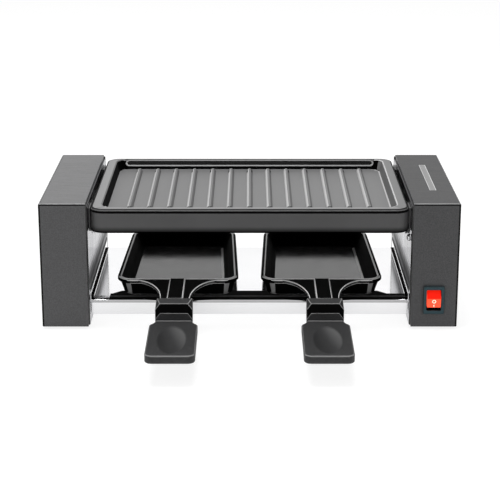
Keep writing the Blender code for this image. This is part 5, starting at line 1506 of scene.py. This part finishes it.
def build_floor(scene):
    """A pale table top that keeps the object's shadow."""
    material = bpy.data.materials.new("table_top")
    material.use_nodes = True
    tree = material.node_tree
    tree.nodes.clear()
    seen = seen_directly(tree)[1]
    matt = add_node(tree, "ShaderNodeBsdfDiffuse", Color=(0.9, 0.9, 0.9, 1.0))
    glow = add_node(tree, "ShaderNodeEmission", Strength=TABLE_GLOW)
    share = tree.nodes.new("ShaderNodeMath")
    share.operation = "MULTIPLY"
    share.inputs[1].default_value = TABLE_SHARE
    tree.links.new(seen, share.inputs[0])
    mix_to_output(tree, share.outputs[0], matt, glow, "ShaderNodeOutputMaterial")
    bm = bmesh.new()
    bmesh.ops.create_circle(bm, cap_ends=True, segments=96, radius=4.0)
    mesh = bpy.data.meshes.new("table_top")
    bm.to_mesh(mesh)
    bm.free()
    mesh.materials.append(material)
    table = bpy.data.objects.new("table_top", mesh)
    scene.collection.objects.link(table)
    table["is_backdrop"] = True


def add_lamp(scene, name, place, aim, size, power, in_gloss):
    """A round lamp aimed at a point."""
    lamp = bpy.data.lights.new(name, "AREA")
    lamp.shape = "DISK"
    lamp.size = size
    lamp.energy = power
    obj = bpy.data.objects.new(name, lamp)
    obj.location = place
    obj.rotation_euler = (Vector(aim) - Vector(place)).to_track_quat("-Z", "Y").to_euler()
    obj.visible_glossy = in_gloss
    scene.collection.objects.link(obj)


def seen_directly(tree):
    """The light path node, and a socket that is 1 for what the camera sees and what gloss shows."""
    path = tree.nodes.new("ShaderNodeLightPath")
    return path, either(tree, path.outputs["Is Camera Ray"], path.outputs["Is Glossy Ray"])


def mix_to_output(tree, share, plain, shown, output):
    """Mix two shaders by a share and send the result to the output."""
    mix = tree.nodes.new("ShaderNodeMixShader")
    for source, socket in zip((share, plain.outputs[0], shown.outputs[0]), mix.inputs):
        tree.links.new(source, socket)
    tree.links.new(mix.outputs[0], tree.nodes.new(output).inputs["Surface"])


# Carried-over parts


def dress_carried_parts():
    """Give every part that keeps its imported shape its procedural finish."""
    for node in frame["nodes"].values():
        for slot in node.material_slots:
            base = slot.material.name.split(".")[0] if slot.material else ""
            if base in FINISHES:
                slot.material = finish(base)


# Operators


class BuildGrillTowers(bpy.types.Operator):
    """Build the two painted towers."""
    bl_idname = "grill.build_towers"
    bl_label = "Towers"

    def execute(self, context):
        for side, name in SIDES:
            build_tower(side, name)
        return {"FINISHED"}


class BuildGrillSheetMetal(bpy.types.Operator):
    """Build the polished base plate and inner walls."""
    bl_idname = "grill.build_sheet_metal"
    bl_label = "Sheet metal"

    def execute(self, context):
        for side, name in SIDES:
            build_side_plate(side, name)
        build_base_plate()
        return {"FINISHED"}


class BuildGrillPlate(bpy.types.Operator):
    """Build the ribbed grill plate."""
    bl_idname = "grill.build_grill_plate"
    bl_label = "Grill plate"

    def execute(self, context):
        build_grill_plate()
        return {"FINISHED"}


class BuildGrillPans(bpy.types.Operator):
    """Build the two pans."""
    bl_idname = "grill.build_pans"
    bl_label = "Pans"

    def execute(self, context):
        for _, name in SIDES:
            build_pan(name)
        return {"FINISHED"}


class BuildGrillHandles(bpy.types.Operator):
    """Build the two moulded grips."""
    bl_idname = "grill.build_handles"
    bl_label = "Handles"

    def execute(self, context):
        for _, name in SIDES:
            build_handle(name)
        return {"FINISHED"}


class BuildGrillSwitch(bpy.types.Operator):
    """Build the switch's frame and rocker."""
    bl_idname = "grill.build_switch"
    bl_label = "Switch"

    def execute(self, context):
        build_switch()
        return {"FINISHED"}


class BuildGrillSmallParts(bpy.types.Operator):
    """Build the screws, feet, gland and badge strip."""
    bl_idname = "grill.build_small_parts"
    bl_label = "Small parts"

    def execute(self, context):
        build_small_parts()
        return {"FINISHED"}


class BuildGrillHeater(bpy.types.Operator):
    """Build the heating tube."""
    bl_idname = "grill.build_heater"
    bl_label = "Heater"

    def execute(self, context):
        build_heater()
        return {"FINISHED"}


class BuildGrillFinishes(bpy.types.Operator):
    """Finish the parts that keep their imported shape."""
    bl_idname = "grill.dress_carried_parts"
    bl_label = "Finishes of the other parts"

    def execute(self, context):
        dress_carried_parts()
        return {"FINISHED"}


class BuildGrillStage(bpy.types.Operator):
    """Set up the camera, the lamps and the table top."""
    bl_idname = "grill.build_stage"
    bl_label = "Stage"

    def execute(self, context):
        build_stage()
        return {"FINISHED"}


class GrillPanel(bpy.types.Panel):
    """The grill's building steps."""
    bl_idname = "VIEW3D_PT_grill"
    bl_label = "Raclette grill"
    bl_space_type = "VIEW_3D"
    bl_region_type = "UI"
    bl_category = "Raclette Grill"

    def draw(self, context):
        for operator in STEPS:
            self.layout.operator(operator.bl_idname)
        for group in (context.scene.grill_finish, context.scene.grill_shape):
            for key in group.bl_rna.properties.keys():
                if key not in ("rna_type", "name"):
                    self.layout.prop(group, key)


STEPS = (
    BuildGrillStage, BuildGrillFinishes, BuildGrillTowers, BuildGrillSheetMetal, BuildGrillPlate,
    BuildGrillPans, BuildGrillHandles, BuildGrillSwitch, BuildGrillSmallParts, BuildGrillHeater,
)
CLASSES = (GrillFinishSettings, GrillShapeSettings, *STEPS, GrillPanel)


def register():
    for item in CLASSES:
        bpy.utils.register_class(item)
    bpy.types.Scene.grill_finish = PointerProperty(type=GrillFinishSettings)
    bpy.types.Scene.grill_shape = PointerProperty(type=GrillShapeSettings)


def unregister():
    del bpy.types.Scene.grill_shape
    del bpy.types.Scene.grill_finish
    for item in reversed(CLASSES):
        bpy.utils.unregister_class(item)


def corners(bounds):
    """A box's corners as plain lists of numbers."""
    return [[round(value, 6) for value in corner] for corner in bounds]


def main():
    """Build everything in order."""
    register()
    packed = corners(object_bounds())
    bpy.ops.grill.build_stage()
    bpy.ops.grill.dress_carried_parts()
    bpy.ops.grill.build_towers()
    bpy.ops.grill.build_sheet_metal()
    bpy.ops.grill.build_grill_plate()
    bpy.ops.grill.build_pans()
    bpy.ops.grill.build_handles()
    bpy.ops.grill.build_switch()
    bpy.ops.grill.build_small_parts()
    bpy.ops.grill.build_heater()
    {"cad": packed, "visual": corners(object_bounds())}


if __name__ == "__main__":
    main()
